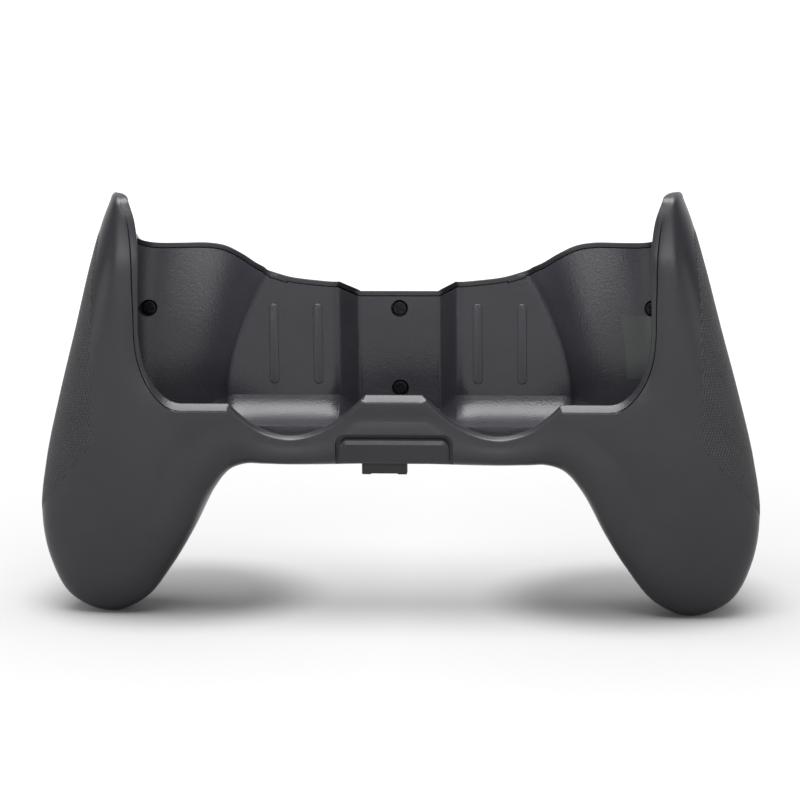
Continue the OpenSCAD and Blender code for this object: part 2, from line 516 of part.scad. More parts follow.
// Bare label in the right channel
label_col = [8.2, 11.1];                     // channel columns that it spans
label_z = [floor_z + 12.2, floor_z + 33.6];
function on_facet(c, z) = mix(col_at(floor(c), z), col_at(floor(c) + 1, z), c - floor(c));
module rating_label() color([0.42, 0.44, 0.42]) {
    g = [for (c = [label_col[0], 9, 10, 11, label_col[1]]) [for (z = steps(label_z[0], label_z[1], 4))
        let (p = on_facet(c, z)) [p[0], p[1], z]]];
    sheet_solid(grown(g, -0.3), grown(g, -0.45));
}

// Cross-recess screw: the head ends at z = 0 and the shank runs up from there
head_share = 0.34;
module screw(length, head, shank) difference() {
    union() {
        translate([0, 0, -head_share * head]) cylinder(h = head_share * head, d = head);
        cylinder(h = length, d = shank);
    }
    for (a = [0, 90]) rotate(a) translate([-0.3 * head, -0.08 * head, -head_share * head - 0.1])
        cube([0.6 * head, 0.16 * head, 0.2 * head + 0.1]);
}
module screw_back(x, z, seat, length)
    at(x, seat, z) rotate([-90, 0, 0]) screw(length, screw_head, pilot_bore - 0.1);
module screw_front(x, z, seat, length)
    at(x, seat, z) rotate([90, 0, 0]) screw(length, screw_head, pilot_bore - 0.1);
module spine_screw_upper() color(black)
    screw_back(0, spine_screw_z[0], spine_seat, back_depth - 1.2 - spine_seat);
module spine_screw_lower() color(black)
    screw_back(0, spine_screw_z[1], spine_seat, back_depth - 1.2 - spine_seat);
module left_side_screw() color(black)
    screw_back(-side_screw_x, side_screw_z, side_seat, back_depth - wall - side_seat);
module right_side_screw() color(black)
    screw_back(side_screw_x, side_screw_z, side_seat, back_depth - wall - side_seat);
module handle_screw(side, p) color(black) screw_front(side * p[0], p[1], handle_seat, 16);
module left_handle_screw_low() handle_screw(-1, handle_screw_low);
module left_handle_screw_high() handle_screw(-1, handle_screw_high);
module right_handle_screw_low() handle_screw(1, handle_screw_low);
module right_handle_screw_high() handle_screw(1, handle_screw_high);

// Board, plug, socket and cells
board_half = 34;
board_y = [bar_y1 + 0.7, 25];
module main_board() color(board_green) difference() {
    box(-board_half, board_half, board_y[0], board_y[1], bar_z, bar_z + board_thick);
    for (m = [-1, 1]) at(m * post_x, post_y, bar_z - 1) cylinder(h = 4, d = screw_bore - 0.4);
}
module board_screw(side) color(steel) at(side * post_x, post_y, bar_z) screw(4.6, 3.6, pilot_bore - 0.5);
module left_board_screw() board_screw(-1);
module right_board_screw() board_screw(1);
module dock_plug() color(steel) {
    box(-5.5, 5.5, plug_y - 2.2, plug_y + 2.2, bar_z + board_thick, floor_z - 0.2);
    at(0, plug_y, floor_z - 0.4) linear_extrude(6.9) pill(8.3, 2.5);
}
module charge_socket() color(steel) difference() {
    prism_y(0, socket_z, board_y[1] - 4, back_depth - 3.4) pill(8.9, 3.2);
    prism_y(0, socket_z, board_y[1] - 2.5, back_depth) pill(8.3, 2.6);
}
cell_size = [cell_w, cell_t, cell_h];
cell_x = block_in_x + 3.5;
cell_y = slot_depth + liner_wall + 0.7;
cell_z = floor_z + 11.6;
module cell(side) color(cell_silver) box(side > 0 ? cell_x : -cell_x - cell_size[0],
    side > 0 ? cell_x + cell_size[0] : -cell_x, cell_y, cell_y + cell_size[1], cell_z, cell_z + cell_size[2]);
module left_cell() cell(-1);
module right_cell() cell(1);
module cell_tape(side) color([0.75, 0.74, 0.70]) box(side > 0 ? cell_x + 2 : -cell_x - cell_size[0] + 2,
    side > 0 ? cell_x + cell_size[0] - 2 : -cell_x - 2, slot_depth + liner_wall + 0.05, cell_y, cell_z + 3,
    cell_z + cell_size[2] - 3);
module left_cell_tape() cell_tape(-1);
module right_cell_tape() cell_tape(1);
module cell_leads(side) color([0.55, 0.12, 0.10]) for (o = [0, 2])
    at(side * (cell_x + 5 + o), cell_y + 3.4, bar_z + board_thick)
        cylinder(h = cell_z - bar_z - board_thick, d = 1.2);
module left_cell_leads() cell_leads(-1);
module right_cell_leads() cell_leads(1);

// Lock under the bridge
bar_x = [hook_x[0] - 4, hook_x[1] + hook_w / 2 + 1.5];
spring_z = bar_z + bar_thick / 2;
guide_end = 24.5;
module lock_guide() color(plastic) difference() {
    union() {
        box(-guide_end - 6, guide_end + 6, bar_y0 - 0.4, bar_y1, guide_z, guide_z + 1.2);
        box(guide_end - 1.2, guide_end, bar_y0 + 0.4, bar_y1, bar_z + 0.1, guide_z + 0.1);
    }
    for (x = hook_x) box(x - hook_w / 2 - 0.4, x + hook_w / 2 + lock_travel + 0.4, lock_depth - 1.4,
        lock_depth + 1.4, guide_z - 1, guide_z + 2);
    for (m = [-1, 1]) at(m * guide_screw_x, lock_depth, guide_z - 1) cylinder(h = 4, d = screw_bore - 0.4);
}
module guide_screw(side) color(steel) at(side * guide_screw_x, lock_depth, guide_z + 1.2) rotate([180, 0, 0])
    screw(4.6, 3.6, pilot_bore - 0.5);
module left_guide_screw() guide_screw(-1);
module right_guide_screw() guide_screw(1);
module latch_bar() color(black) difference() {
    union() {
        box(bar_x[0], bar_x[1], bar_y0, bar_y1, bar_z, bar_z + bar_thick);
        for (x = hook_x) {
            box(x - hook_w / 2, x + hook_w / 2, lock_depth - 1, lock_depth + 1, bar_z + bar_thick - 0.2,
                floor_z + hook_rise);
            box(x - hook_w / 2 - 1.2, x + hook_w / 2, lock_depth - 1, lock_depth + 1,
                floor_z + hook_rise - 1.6, floor_z + hook_rise);
        }
    }
    for (o = [3.4, knob_length - 3.4]) at(knob_x0 + o, lock_depth, bar_z - 1)
        cylinder(h = bar_thick + 2, d = 1.8);
}
knob_foot = 3;                               // feet at the knob's ends
knob_hollow = 0.35;                          // step between them
module lock_knob() color(black) {
    difference() {
        box(knob_x0, knob_x0 + knob_length, lock_depth - knob_width / 2, lock_depth + knob_width / 2,
            bridge_z - knob_drop, bar_z);
        box(knob_x0 + knob_foot, knob_x0 + knob_length - knob_foot, lock_depth - knob_width,
            lock_depth + knob_width, bridge_z - knob_drop - 1, bridge_z - knob_drop + knob_hollow);
    }
    for (o = [3.4, knob_length - 3.4]) at(knob_x0 + o, lock_depth, bar_z - 0.2)
        cylinder(h = bar_thick, d = 1.7);
}
spring_r = 1.0;
spring_wire = 0.35;
spring_turns = 6;
spring_x = [bar_x[1] + 0.1, guide_end - 1.3];
module lock_spring() {
    n = spring_turns * 8; sides = 6;
    len_x = spring_x[1] - spring_x[0] - spring_wire;
    function mid(i) = [spring_x[0] + spring_wire / 2 + len_x * i / n, lock_depth + spring_r * cos(45 * i),
        spring_z + spring_r * sin(45 * i)];
    function ring(i) = let (c = mid(i), r = [0, cos(45 * i), sin(45 * i)])
        [for (k = [0 : sides - 1])
            c + spring_wire / 2 * (r * cos(60 * k) + [1, 0, 0] * sin(60 * k)) + [0, depth_shift, 0]];
    pts = [for (i = [0 : n]) for (v = ring(i)) v];
    color(steel) polyhedron(points = pts, faces = concat([[for (k = [sides - 1 : -1 : 0]) k]],
        [for (i = [0 : n - 1]) for (k = [0 : sides - 1])
            let (a = i * sides + k, b = i * sides + (k + 1) % sides)
            for (f = [[a, b, a + sides], [b, b + sides, a + sides]]) f],
        [[for (k = [0 : sides - 1]) n * sides + k]]));
}

front_shell();
rear_shell();
cradle_liner();
left_grip_skin();
right_grip_skin();
front_plate();
rating_label();
spine_screw_upper();
spine_screw_lower();
left_side_screw();
right_side_screw();
left_handle_screw_low();
left_handle_screw_high();
right_handle_screw_low();
right_handle_screw_high();
main_board();
left_board_screw();
right_board_screw();
dock_plug();
charge_socket();
left_cell();
right_cell();
left_cell_tape();
right_cell_tape();
left_cell_leads();
right_cell_leads();
lock_guide();
left_guide_screw();
right_guide_screw();
lock_spring();
latch_bar();
lock_knob();
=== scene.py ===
# %% [markdown]
# # A two-handled grip cradle
# A moulded cradle that a handheld screen slides into from above. Two handles stand on their tips, a low
# bridge joins them, and two fins hold the screen's ends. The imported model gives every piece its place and
# size, and this lesson gives the pieces their final surfaces. Everything is in one frame: +X right,
# +Z up, and the front faces -Y.

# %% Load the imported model
from functools import lru_cache
from math import ceil, cos, exp, floor, radians, sin

import bmesh
import bpy
import numpy as np
from mathutils import Matrix, Vector


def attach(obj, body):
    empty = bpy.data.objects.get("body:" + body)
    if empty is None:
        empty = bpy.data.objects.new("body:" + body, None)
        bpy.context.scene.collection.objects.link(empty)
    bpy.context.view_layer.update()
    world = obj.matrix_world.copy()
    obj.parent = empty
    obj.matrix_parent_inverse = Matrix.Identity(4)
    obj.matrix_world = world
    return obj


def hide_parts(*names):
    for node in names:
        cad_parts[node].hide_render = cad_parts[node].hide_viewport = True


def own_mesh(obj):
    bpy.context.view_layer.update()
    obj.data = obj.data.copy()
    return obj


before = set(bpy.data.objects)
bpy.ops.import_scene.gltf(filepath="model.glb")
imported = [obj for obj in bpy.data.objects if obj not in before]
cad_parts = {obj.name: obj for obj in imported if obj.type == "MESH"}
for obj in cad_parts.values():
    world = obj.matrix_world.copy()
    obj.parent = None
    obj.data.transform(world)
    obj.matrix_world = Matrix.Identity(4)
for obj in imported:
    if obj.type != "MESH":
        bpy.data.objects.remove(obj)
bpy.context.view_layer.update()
scene = bpy.context.scene
print("nodes in the frame:", len(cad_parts))

# %% [markdown]
# ## Sizes
# The two shells and the liner meet along shared edges, so one set of sizes drives them all. The sizes
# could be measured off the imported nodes, but a curved surface needs the few values that it was drawn
# from, so those are written here once, in millimetres. Depths count from the front face of the screen
# that goes in: 0 there, and positive to the back.

# %% Handles, bridge and fins
MM = 0.001
depth_shift = -15.83
grip_half = 119.6
grip_widest_z = 33.5
foot_x = grip_half - 22.3
crotch_x = 50.5
bridge_z = 52.3
part_depth = 11
slot_half = 88.2
slot_depth = 17
floor_z = 64.8
fin_z = 141.7
fin_bend_z = fin_z - 18
fin_tip_x = slot_half + 4
wall = 2.4
seam = 0.15


def frame_point(x, depth, z):
    """A place in millimetres and depth, as a point of the frame in metres."""
    return Vector((x, depth + depth_shift, z)) * MM


print("width over the handles:", 2 * grip_half, "mm, and of the slot:", 2 * slot_half, "mm")

# %% Lip of the front wall
lip_hold = 4.5
lip_x = slot_half - lip_hold
lip_z = 73.3
lip_depth = -1.3
lip_back = -0.3
lip_chamfer = 2.3
trap_half = 9.3
trap_z = 76.4
dip_x = 34.8
dip_z = 62.8
dip_end_x = 54.5
corner_x = 70
corner_z = 97
print("the dips lie", round(lip_z - dip_z, 1), "mm under the lip")

# %% Back wall
back_depth = 35
back_fall = 0.26
spine_half = 13.5
spine_depth = back_depth - 9
spine_top_z = 106.4
block_in_x = 20
block_out_low = 57.2
block_out_top = 45.3
block_top_z = 110.9
channel_depth = back_depth - 8.6
channel_lean = 4.9
floor_fillet = 13
rim_z = 122.1
rim_thick = 1.7
print("the back rim rises to", rim_z, "mm")

# %% [markdown]
# ## Curves
# Moulded forms are made of soft ramps, curves through points and rounded corners. Blender's curve objects
# could give these, but a loft asks for a point at any place along a curve, so a few short functions are
# handier.


# %% Curve helpers
def clamp(t):
    return max(0.0, min(1.0, t))


def smooth(t):
    u = clamp(t)
    return u * u * (3 - 2 * u)


def ramp(at, start, run):
    """0 up to start, 1 from start + run on, and a soft slope between them."""
    return smooth((at - start) / run)


def mix(a, b, t):
    return a + (b - a) * t


def flat(v):
    return Vector((v.x, 0, v.z))


# %% Curves through points and rounded corners
def spline(points, s, crisp=()):
    """A centripetal curve through the points, at station s, with crisp corners at the stations named."""
    i = min(int(floor(s)), len(points) - 2)
    t = s - i
    a = points[max(i - 1, 0)]
    b = points[i]
    c = points[i + 1]
    d = points[min(i + 2, len(points) - 1)]
    kb, kc, kd = (max((q - p).length ** 0.5, 1e-3) for p, q in ((a, b), (b, c), (c, d)))
    mb = c - b
    if i not in (0, *crisp):
        mb = kc * ((b - a) / kb - (c - a) / (kb + kc) + (c - b) / kc)
    mc = c - b
    if i + 1 not in (len(points) - 1, *crisp):
        mc = kc * ((c - b) / kc - (d - b) / (kc + kd) + (d - c) / kd)
    return (b * (2 * t**3 - 3 * t**2 + 1) + mb * (t**3 - 2 * t**2 + t)
            + c * (3 * t**2 - 2 * t**3) + mc * (t**3 - t**2))


ease_limit = 0.45


def eased(a, b, c, radius, steps=4):
    """Points of a soft corner at b, which takes less than half of the way to its neighbours a and c."""
    to_a = a - b
    to_c = c - b
    start = b + to_a.normalized() * min(radius, ease_limit * to_a.length)
    end = b + to_c.normalized() * min(radius, ease_limit * to_c.length)
    shares = [k / steps for k in range(steps + 1)]
    return [start * (1 - u) ** 2 + b * (2 * u * (1 - u)) + end * u**2 for u in shares]


def superellipse(share, n):
    """From the flat face (share 0) round to the edge (share 1): how far across, and how far forward."""
    turn = 2 ** (-1 / n)
    if share < 0.5:
        across = 2 * share * turn
        return across, (1 - across**n) ** (1 / n)
    forward = 2 * (1 - share) * turn
    return (1 - forward**n) ** (1 / n), forward


# %% [markdown]
# ## Stations
# The shells' edges are long free curves: along the bridge, down round the handle and up to the fin's
# tip. They could be drawn by hand as Bezier curves. Here each runs through points at numbered stations,
# because the lip, the parting edge and the back rim then have one point each at every station, and a
# surface can be lofted between them.

# %% Lip
fin_lean = 0.4
fin_back_height = 34
fin_back_run = 16
fin_sweep = 6.5
fin_sweep_power = 1.2
fin_flare_power = 1.8
fin_tip_inset = 3.4
tip_drop = 2.4


def dip(x):
    """Height of the lip in a thumb dip, whose two sides are parabolas."""
    if x < dip_x:
        return dip_z + (trap_z - dip_z) * max(0, (dip_x - x) / (dip_x - trap_half)) ** 2
    return dip_z + (lip_z - dip_z) * min(1, (x - dip_x) / (dip_end_x - dip_x)) ** 2


def corner(angle):
    """The quarter turn from the level lip up to the fin."""
    return Vector((mix(corner_x, lip_x, sin(angle)), lip_depth, mix(corner_z, lip_z, cos(angle))))


def fin_lip(z):
    """The lip along the fin, which leans in a little and sweeps back and out to the tip."""
    u = max(0, (z - fin_bend_z) / (fin_z - fin_bend_z))
    lean = -fin_lean * (z - corner_z) / (fin_bend_z - corner_z)
    flare = (fin_tip_x - fin_tip_inset - lip_x) * u**fin_flare_power
    back = ramp(z, fin_z - fin_back_height, fin_back_run) + fin_sweep * u**fin_sweep_power
    return Vector((lip_x + lean + flare, lip_depth + back, z))


inner_dip = [mix(dip_x, trap_half, f) for f in (0.62, 0.3, 0)]
outer_dip = [mix(dip_x, dip_end_x, f) for f in (0.44, 0.77)]
lips = [Vector((x, lip_depth, trap_z)) for x in (0, trap_half)]
lips += [Vector((x, lip_depth, dip(x))) for x in inner_dip + outer_dip]
lips += [Vector((mix(dip_end_x, corner_x, f), lip_depth, lip_z)) for f in (0, 0.36, 0.74)]
lips += [corner(radians(a)) for a in (8, 24, 38, 50, 62, 74, 90)]
lips += [fin_lip(mix(corner_z, fin_z, f)) for f in (0.17, 0.34, 0.56, 0.8)]
lips += [fin_lip(fin_z - tip_drop)]
last = len(lips) - 1
print("stations on each side:", len(lips))

# %% Parting edge
# Along the bridge, round the handle's foot and its widest place, and up to the tip, where it leans back.
edge_outline = [(x, bridge_z) for x in (0, trap_half, *inner_dip, mix(dip_x, crotch_x, 0.56))]
edge_outline += [
    (crotch_x - 1, bridge_z - 0.3), (crotch_x + 5, bridge_z - 2.8), (crotch_x + 11, bridge_z - 10.3),
    (foot_x - 28.6, bridge_z - 24.3), (foot_x - 21.3, 16), (foot_x - 12, 4.6), (foot_x, 0),
    (foot_x + 13, 5.3), (grip_half - 2.6, grip_widest_z - 16), (grip_half, grip_widest_z),
    (grip_half - 2.3, grip_widest_z + 19.2), (grip_half - 7.4, grip_widest_z + 41),
    (grip_half - 13.2, grip_widest_z + 62.7), (fin_tip_x + 8.6, fin_z - 24),
    (fin_tip_x + 4.3, fin_z - 9.5), (fin_tip_x + 1.5, fin_z - 2.3)]
tip_leans = [1, 2.5]
edge_leans = [0] * (len(lips) - len(tip_leans)) + tip_leans
edges = [Vector((x, part_depth + lean, z)) for (x, z), lean in zip(edge_outline, edge_leans)]
print("points on the parting edge:", len(edges))

# %% Back rim
# Low over the spine, a step up to the blocks, an S-curve to the channels and a sweep up the fins.
rim_outline = [
    (0, spine_top_z + 0.2), (spine_half - 0.5, spine_top_z + 0.2), (block_in_x - 0.8, block_top_z),
    (block_in_x + 6, block_top_z + 0.6), (block_out_top - 10, block_top_z + 1.8)]
rim_outline += [(block_out_top + out, mix(block_top_z, rim_z, rise)) for out, rise in (
    (-3, 0.34), (2.2, 0.465), (7, 0.68))]
rim_outline += [
    (block_out_top + 13.3, rim_z - 0.9), (block_out_top + 19, rim_z), (slot_half - 16, rim_z + 0.1),
    (slot_half - 12, rim_z + 0.2), (slot_half - 8.5, rim_z + 0.4), (slot_half - 5.5, rim_z + 0.9)]
rim_outline += [(slot_half + out, mix(rim_z, fin_z, rise)) for out, rise in (
    (-3, 0.1), (-1.2, 0.18), (0, 0.28), (1, 0.42), (1.9, 0.56), (2.6, 0.72))]
rim_outline += [(fin_tip_x - 1, fin_z - 4), (fin_tip_x - 0.6, fin_z - tip_drop)]
rims = [Vector((x, 0, z)) for x, z in rim_outline]
print("points on the back rim:", len(rims))

# %% How square each section is
# The power of the superellipse at each station: 4 and more is boxy, as on the bridge, and 2 is round.
front_powers = [4.2] * 5 + [4, 3.6, 3.2, 2.8, 2.6, 2.5] + [2.4] * 3 + [2.3] * 3 + [2.2] * 3 + [2.1, 2]
rear_powers = [6] * 5 + [5.6, 5, 4.2, 3.5, 3.1, 2.8, 2.6] + [2.5] * 6 + [2.4, 2.4, 2.3, 2.2]
front_power = [Vector((n, 0, 0)) for n in front_powers]
rear_power = [Vector((n, 0, 0)) for n in rear_powers]
print("sections run from power", front_powers[0], "to", front_powers[-1])

# %% The same curves, read once per place
look_ahead = 0.1
thin_share = 0.3


@lru_cache(maxsize=None)
def lip(s):
    return spline(lips, s, (1, 7))


@lru_cache(maxsize=None)
def edge(s):
    return spline(edges, s)


@lru_cache(maxsize=None)
def rim(s):
    return spline(rims, s, (1, 2))


@lru_cache(maxsize=None)
def power(s, at_front):
    return spline(front_power if at_front else rear_power, s).x


def direction(curve, s):
    return (flat(curve(min(s + look_ahead, last))) - flat(curve(max(s - look_ahead, 0)))).normalized()


@lru_cache(maxsize=None)
def edge_in(s):
    """The way from the parting edge into the shell."""
    t = direction(edge, s)
    return Vector((-t.z, 0, t.x))


def thinned(s, start, off):
    """A wall's thickness, which shrinks where a fin is too narrow for it."""
    return min(off, thin_share * (flat(edge(s)) - flat(start)).length) if off > 0 else off


# %% [markdown]
# ## The front surface
# The front shell has a chamfer at the lip, a nearly flat face and a round turn to the parting edge,
# with a soft crease along the bridge and down each handle. It could be sculpted from a rough cage, but
# the lip and the dips would then drift from their places. A superellipse across each station keeps both
# ends exact.

# %% Crease and swell
crease_x = [0] + [crotch_x + out for out in (0, 11.5, 16.5, 21.5, 25, 30.5, 42.5)]
crease_drop = [4.8, 4.8, 8.3, 13.3, 18.3, 23.3, 36.3, 53.3]
band_swell = 2.4
band_height = 30
band_squeeze = 0.6
groove = 0.5
groove_height = 7
# Places beside the crotch, each with the run over which the form changes there.
squeeze_at = (crotch_x - 8, 16)
band_end = (crotch_x + 15, 24)
groove_end = (crotch_x + 22, 18)


def swell(x, z):
    """How far the front stands out: a shallow groove along the crease and a swollen band under it."""
    x = abs(x)
    squeeze = mix(1, band_squeeze, ramp(x, *squeeze_at))
    below = (lip_z - np.interp(x, crease_x, crease_drop) - z) * squeeze
    hollow = groove * (1 - ramp(x, *groove_end))
    if below < 0:
        return -hollow * clamp(1 + below / groove_height)
    run = clamp(below / band_height)
    fade = 1 - ramp(x, *band_end)
    return (band_swell + groove) * run * (2 - run) * fade - hollow


# %% Front surface
fin_arch = 1.3
fin_arch_width = 9
fin_arch_s = 10
fin_arch_run = 4
# The swell grows from nothing at the lip: quickly under the raised middle, and more slowly elsewhere.
lip_run_x = [trap_half, trap_half + 10]
lip_runs = [5, 14]
# The chamfer is full on the level lips and narrow on the slopes of the dips.
chamfer_slope = 0.87
chamfer_at = [0, 1, 1.12, 2, 3, 4, 5, 6, 6.88, 7]
chamfer_share = [1, 1, 0.2, 0.35, 0.44, 0.48, 0.42, 0.3, 0.2, 1]


def front_point(s, share, off):
    """A point of the front shell: off > 0 lies inside its wall, off < 0 outside it."""
    p = lip(s)
    q = edge(s)
    q_off = q + edge_in(s) * thinned(s, p, off)
    span = flat(q) - flat(p)
    chamfer = min(lip_chamfer, thin_share * span.length)
    start = p + span.normalized() * chamfer * float(np.interp(s, chamfer_at, chamfer_share))
    face = p.y + lip_back - lip_depth if off > 0 else p.y - chamfer_slope * chamfer + off
    across, forward = superellipse(share, power(s, True))
    x = mix(start.x, q_off.x, across)
    z = mix(start.z, q_off.z, across)
    from_lip = across * (q_off - start).length
    arch = fin_arch * ramp(s, fin_arch_s, fin_arch_run) * max(0, 1 - from_lip / fin_arch_width) ** 2
    lip_run = float(np.interp(abs(x), lip_run_x, lip_runs))
    bulge = 0 if off > 0 else (swell(x, z) * smooth(from_lip / lip_run) - arch) * forward
    return Vector((x, q.y - (q.y - face) * forward - bulge, z))


print("front of the bridge at a depth of", round(front_point(0, 0, 0).y, 2), "mm")

# %% [markdown]
# ## The inside of the cradle
# Inside, the back wall has a recessed spine, two blocks that carry the screen and a half-pipe channel
# beside each fin. It could be cut out of a solid with boxes and cylinders, but the blocks narrow
# upwards and the channels scoop back. So the inside is one line, seen from above, whose shape changes
# with the height.

# %% Section of the cradle
block_lean_z = floor_z + 10
block_lean_height = block_top_z - floor_z - 9.5
block_lean_power = 1.6
scoop_z = 82
scoop_power = 1.8
tip_hold_loss = 0.7
slot_front = 0.4


def block_out(z):
    """Half width over the blocks, which narrow upwards."""
    rise = max(0, (z - block_lean_z) / block_lean_height)
    return block_out_low - (block_out_low - block_out_top) * rise**block_lean_power


def slot_wall(z):
    """Half width between the fins' inner walls."""
    if z < corner_z:
        return slot_half
    u = clamp((z - fin_bend_z) / (fin_z - fin_bend_z))
    return fin_lip(z).x + lip_hold * (1 - tip_hold_loss * u)


def channel_at(z):
    """Depth of the channel's deepest line: it scoops back towards the rim."""
    rise = clamp((z - scoop_z) / (rim_z - scoop_z))
    return channel_depth + channel_lean * rise**scoop_power


# %% Line of the cradle
spine_ease = 1.2
block_ease = 2.6
block_foot_ease = 8
block_outer_ease = 4.2
block_ease_steps = 6
bow_start = 14
bow_steps = 30
side_steps = 10
face_steps = 8


@lru_cache(maxsize=None)
def cradle_line(z):
    """Points (x, depth) of the cradle's inside at a height, from the spine to the front of the fin."""
    b = block_out(z)
    w = slot_wall(z)
    angles = [radians(mix(bow_start, 180, k / bow_steps)) for k in range(bow_steps + 1)]
    deep = channel_at(z)
    bow = [Vector((mix(b, w, (1 - cos(a)) / 2), mix(slot_depth, deep, sin(a)))) for a in angles]
    middle = Vector((0, spine_depth))
    spine_edge = Vector((spine_half, spine_depth))
    block_edge = Vector((block_in_x, slot_depth))
    bow_edge = Vector((b, slot_depth))
    foot_ease = mix(block_foot_ease, block_ease, ramp(z, floor_z, floor_fillet))
    inner = eased(spine_edge, block_edge, bow_edge, foot_ease, block_ease_steps)
    outer = eased(block_edge, bow_edge, bow[0], block_outer_ease, block_ease_steps)
    line = [middle.lerp(spine_edge, k / face_steps) for k in range(face_steps - 1)]
    line += eased(middle, spine_edge, block_edge, spine_ease) + inner
    line += [inner[-1].lerp(outer[0], k / face_steps) for k in range(1, face_steps)]
    line += outer + bow
    line += [Vector((w, mix(slot_depth, slot_front, k / side_steps))) for k in range(1, side_steps + 1)]
    return line


def cradle_depth(x, z):
    """Depth of the cradle's inside at a place."""
    back_wall = cradle_line(z)[:-side_steps]
    return float(np.interp(x, [v.x for v in back_wall], [v.y for v in back_wall]))


print("points across half of the cradle:", len(cradle_line(floor_z)))

# %% [markdown]
# ## The rear surface
# The rear shell starts at a flange that covers the cradle's top edge, turns down the back wall and swells
# into the palms before it meets the front shell. The palms could be pushed out with a sculpting brush. A
# bell curve does the same from a few sizes, and leaves the parting edge where it is.

# %% Rear surface
palm_bulge = 5.95
palm_z = 42
palm_width = 24
palm_height = 34
fin_from = 0.6
tip_back = 1.2
tip_power = 1.4
tip_wall_loss = 0.7
tip_flange = 0.5


def palm(x, z):
    return palm_bulge * exp(-((abs(x) - foot_x) / palm_width) ** 2 - ((z - palm_z) / palm_height) ** 2)


def fin_share(s):
    """0 on the bridge and the handle, and 1 at the fin's tip."""
    return ramp(s / last, fin_from, 1 - fin_from)


@lru_cache(maxsize=None)
def flange_in(s, off):
    """The flange's lower edge."""
    t = direction(rim, s)
    return rim(s) + Vector((t.z, 0, -t.x)) * thinned(s, rim(s), min(off, rim_thick))


@lru_cache(maxsize=None)
def flange_depth(s):
    """Where the flange starts, over the cradle's inside."""
    return mix(cradle_depth(rim(s).x, rim(s).z), edge(s).y + tip_flange, fin_share(s))


def rear_point(s, share, off):
    """A point of the rear shell: off > 0 lies inside its wall, off < 0 outside it."""
    q = edge(s)
    q_off = q + edge_in(s) * thinned(s, rim(s), off)
    f = fin_share(s)
    back = mix(back_depth, q.y + tip_back, f**tip_power) - off * (1 - f * tip_wall_loss)
    fall = back_fall * (1 - f) * max(0, back - flange_depth(s))
    b = flange_in(s, off) - Vector((0, 0, fall))
    across, rearward = superellipse(share, power(s, False))
    x = mix(b.x, q_off.x, across)
    z = mix(b.z, q_off.z, across)
    start = q.y + seam
    return Vector((x, start + (back - start + palm(x, z)) * rearward, z))


print("back of the spine at a depth of", round(rear_point(0, 0, 0).y, 2), "mm")

# %% [markdown]
# ## Finishes
# Every finish needs a colour that drifts a little, because nothing real is one flat colour. It could be
# painted on an image, but an image has to be stored and stretched over the piece. Noise nodes work at
# any scale, so the finishes are built from nodes, with two small helpers: one turns sRGB hex colours to
# linear, and one adds a node with its settings and links.

# %% Material helpers
drift_low = 0.35
drift_high = 0.65


def colour(hex_code):
    """An sRGB hex colour as linear RGBA."""
    parts = [int(hex_code[k:k + 2], 16) / 255 for k in (1, 3, 5)]
    return [p / 12.92 if p <= 0.04045 else ((p + 0.055) / 1.055) ** 2.4 for p in parts] + [1]


def add(tree, kind, settings=None, **links):
    """Adds a node; settings are its own values or inputs by name, and links are inputs by name."""
    node = tree.nodes.new(kind)
    for name, value in (settings or {}).items():
        if name in node.inputs:
            node.inputs[name].default_value = value
        else:
            setattr(node, name, value)
    for name, socket in links.items():
        tree.links.new(socket, node.inputs[name.replace("_", " ")])
    return node


def new_material(name, **surface):
    """A material with one Principled shader, whose sockets are set by name."""
    material = bpy.data.materials.new(name)
    material.use_nodes = True
    tree = material.node_tree
    shader = tree.nodes["Principled BSDF"]
    for socket, value in surface.items():
        shader.inputs[socket.replace("_", " ")].default_value = value
    return material, tree, shader


def pattern_scale(size_mm):
    """Noise scale on Object coordinates for features of a real size."""
    return 1 / (size_mm * MM)


def mottled(tree, place, dark, light, size_mm):
    """A faint drift between two colours."""
    drift = add(tree, "ShaderNodeTexNoise", {"Scale": pattern_scale(size_mm), "Detail": 3}, Vector=place)
    ramp_node = add(tree, "ShaderNodeValToRGB", None, Fac=drift.outputs["Fac"])
    stops = ((drift_low, dark), (drift_high, light))
    for element, (position, tone) in zip(ramp_node.color_ramp.elements, stops):
        element.position = position
        element.color = colour(tone)
    return ramp_node.outputs["Color"]


# %% [markdown]
# ### Moulded plastic
# The shells, the liner, the plate and the lock are moulded in tools with a spark-eroded surface. The
# grain could be real geometry, but it would take millions of faces. A bump on the shading normal is
# enough, because no outline shows it.

# %% Moulded plastic
# ABS and acetal: a dull body colour under a satin sheen, with a grain of about 0.2 mm that is drawn at
# 0.7 mm so that it shows. The liner's grain is the deeper one, as if from a coarser tool.
plastic_drift_mm = 18
plastic_rub_mm = 7
plastic_rub = 0.05


def moulded_plastic(name, dark, light, roughness, grain_mm=0.7, grain_depth=0.03):
    material, tree, shader = new_material(name, IOR=1.5, Specular_IOR_Level=0.4)
    place = add(tree, "ShaderNodeTexCoord").outputs["Object"]
    tree.links.new(mottled(tree, place, dark, light, plastic_drift_mm), shader.inputs["Base Color"])
    grain = add(tree, "ShaderNodeTexNoise", {"Scale": pattern_scale(grain_mm), "Detail": 2}, Vector=place)
    bump = add(tree, "ShaderNodeBump", {"Strength": 1.0, "Distance": grain_depth * MM},
               Height=grain.outputs["Fac"])
    tree.links.new(bump.outputs["Normal"], shader.inputs["Normal"])
    rub = add(tree, "ShaderNodeTexNoise", {"Scale": pattern_scale(plastic_rub_mm), "Detail": 4},
              Vector=place)
    spread = add(tree, "ShaderNodeMapRange",
                 {"To Min": roughness - plastic_rub, "To Max": roughness + plastic_rub},
                 Value=rub.outputs["Fac"])
    tree.links.new(spread.outputs["Result"], shader.inputs["Roughness"])
    return material


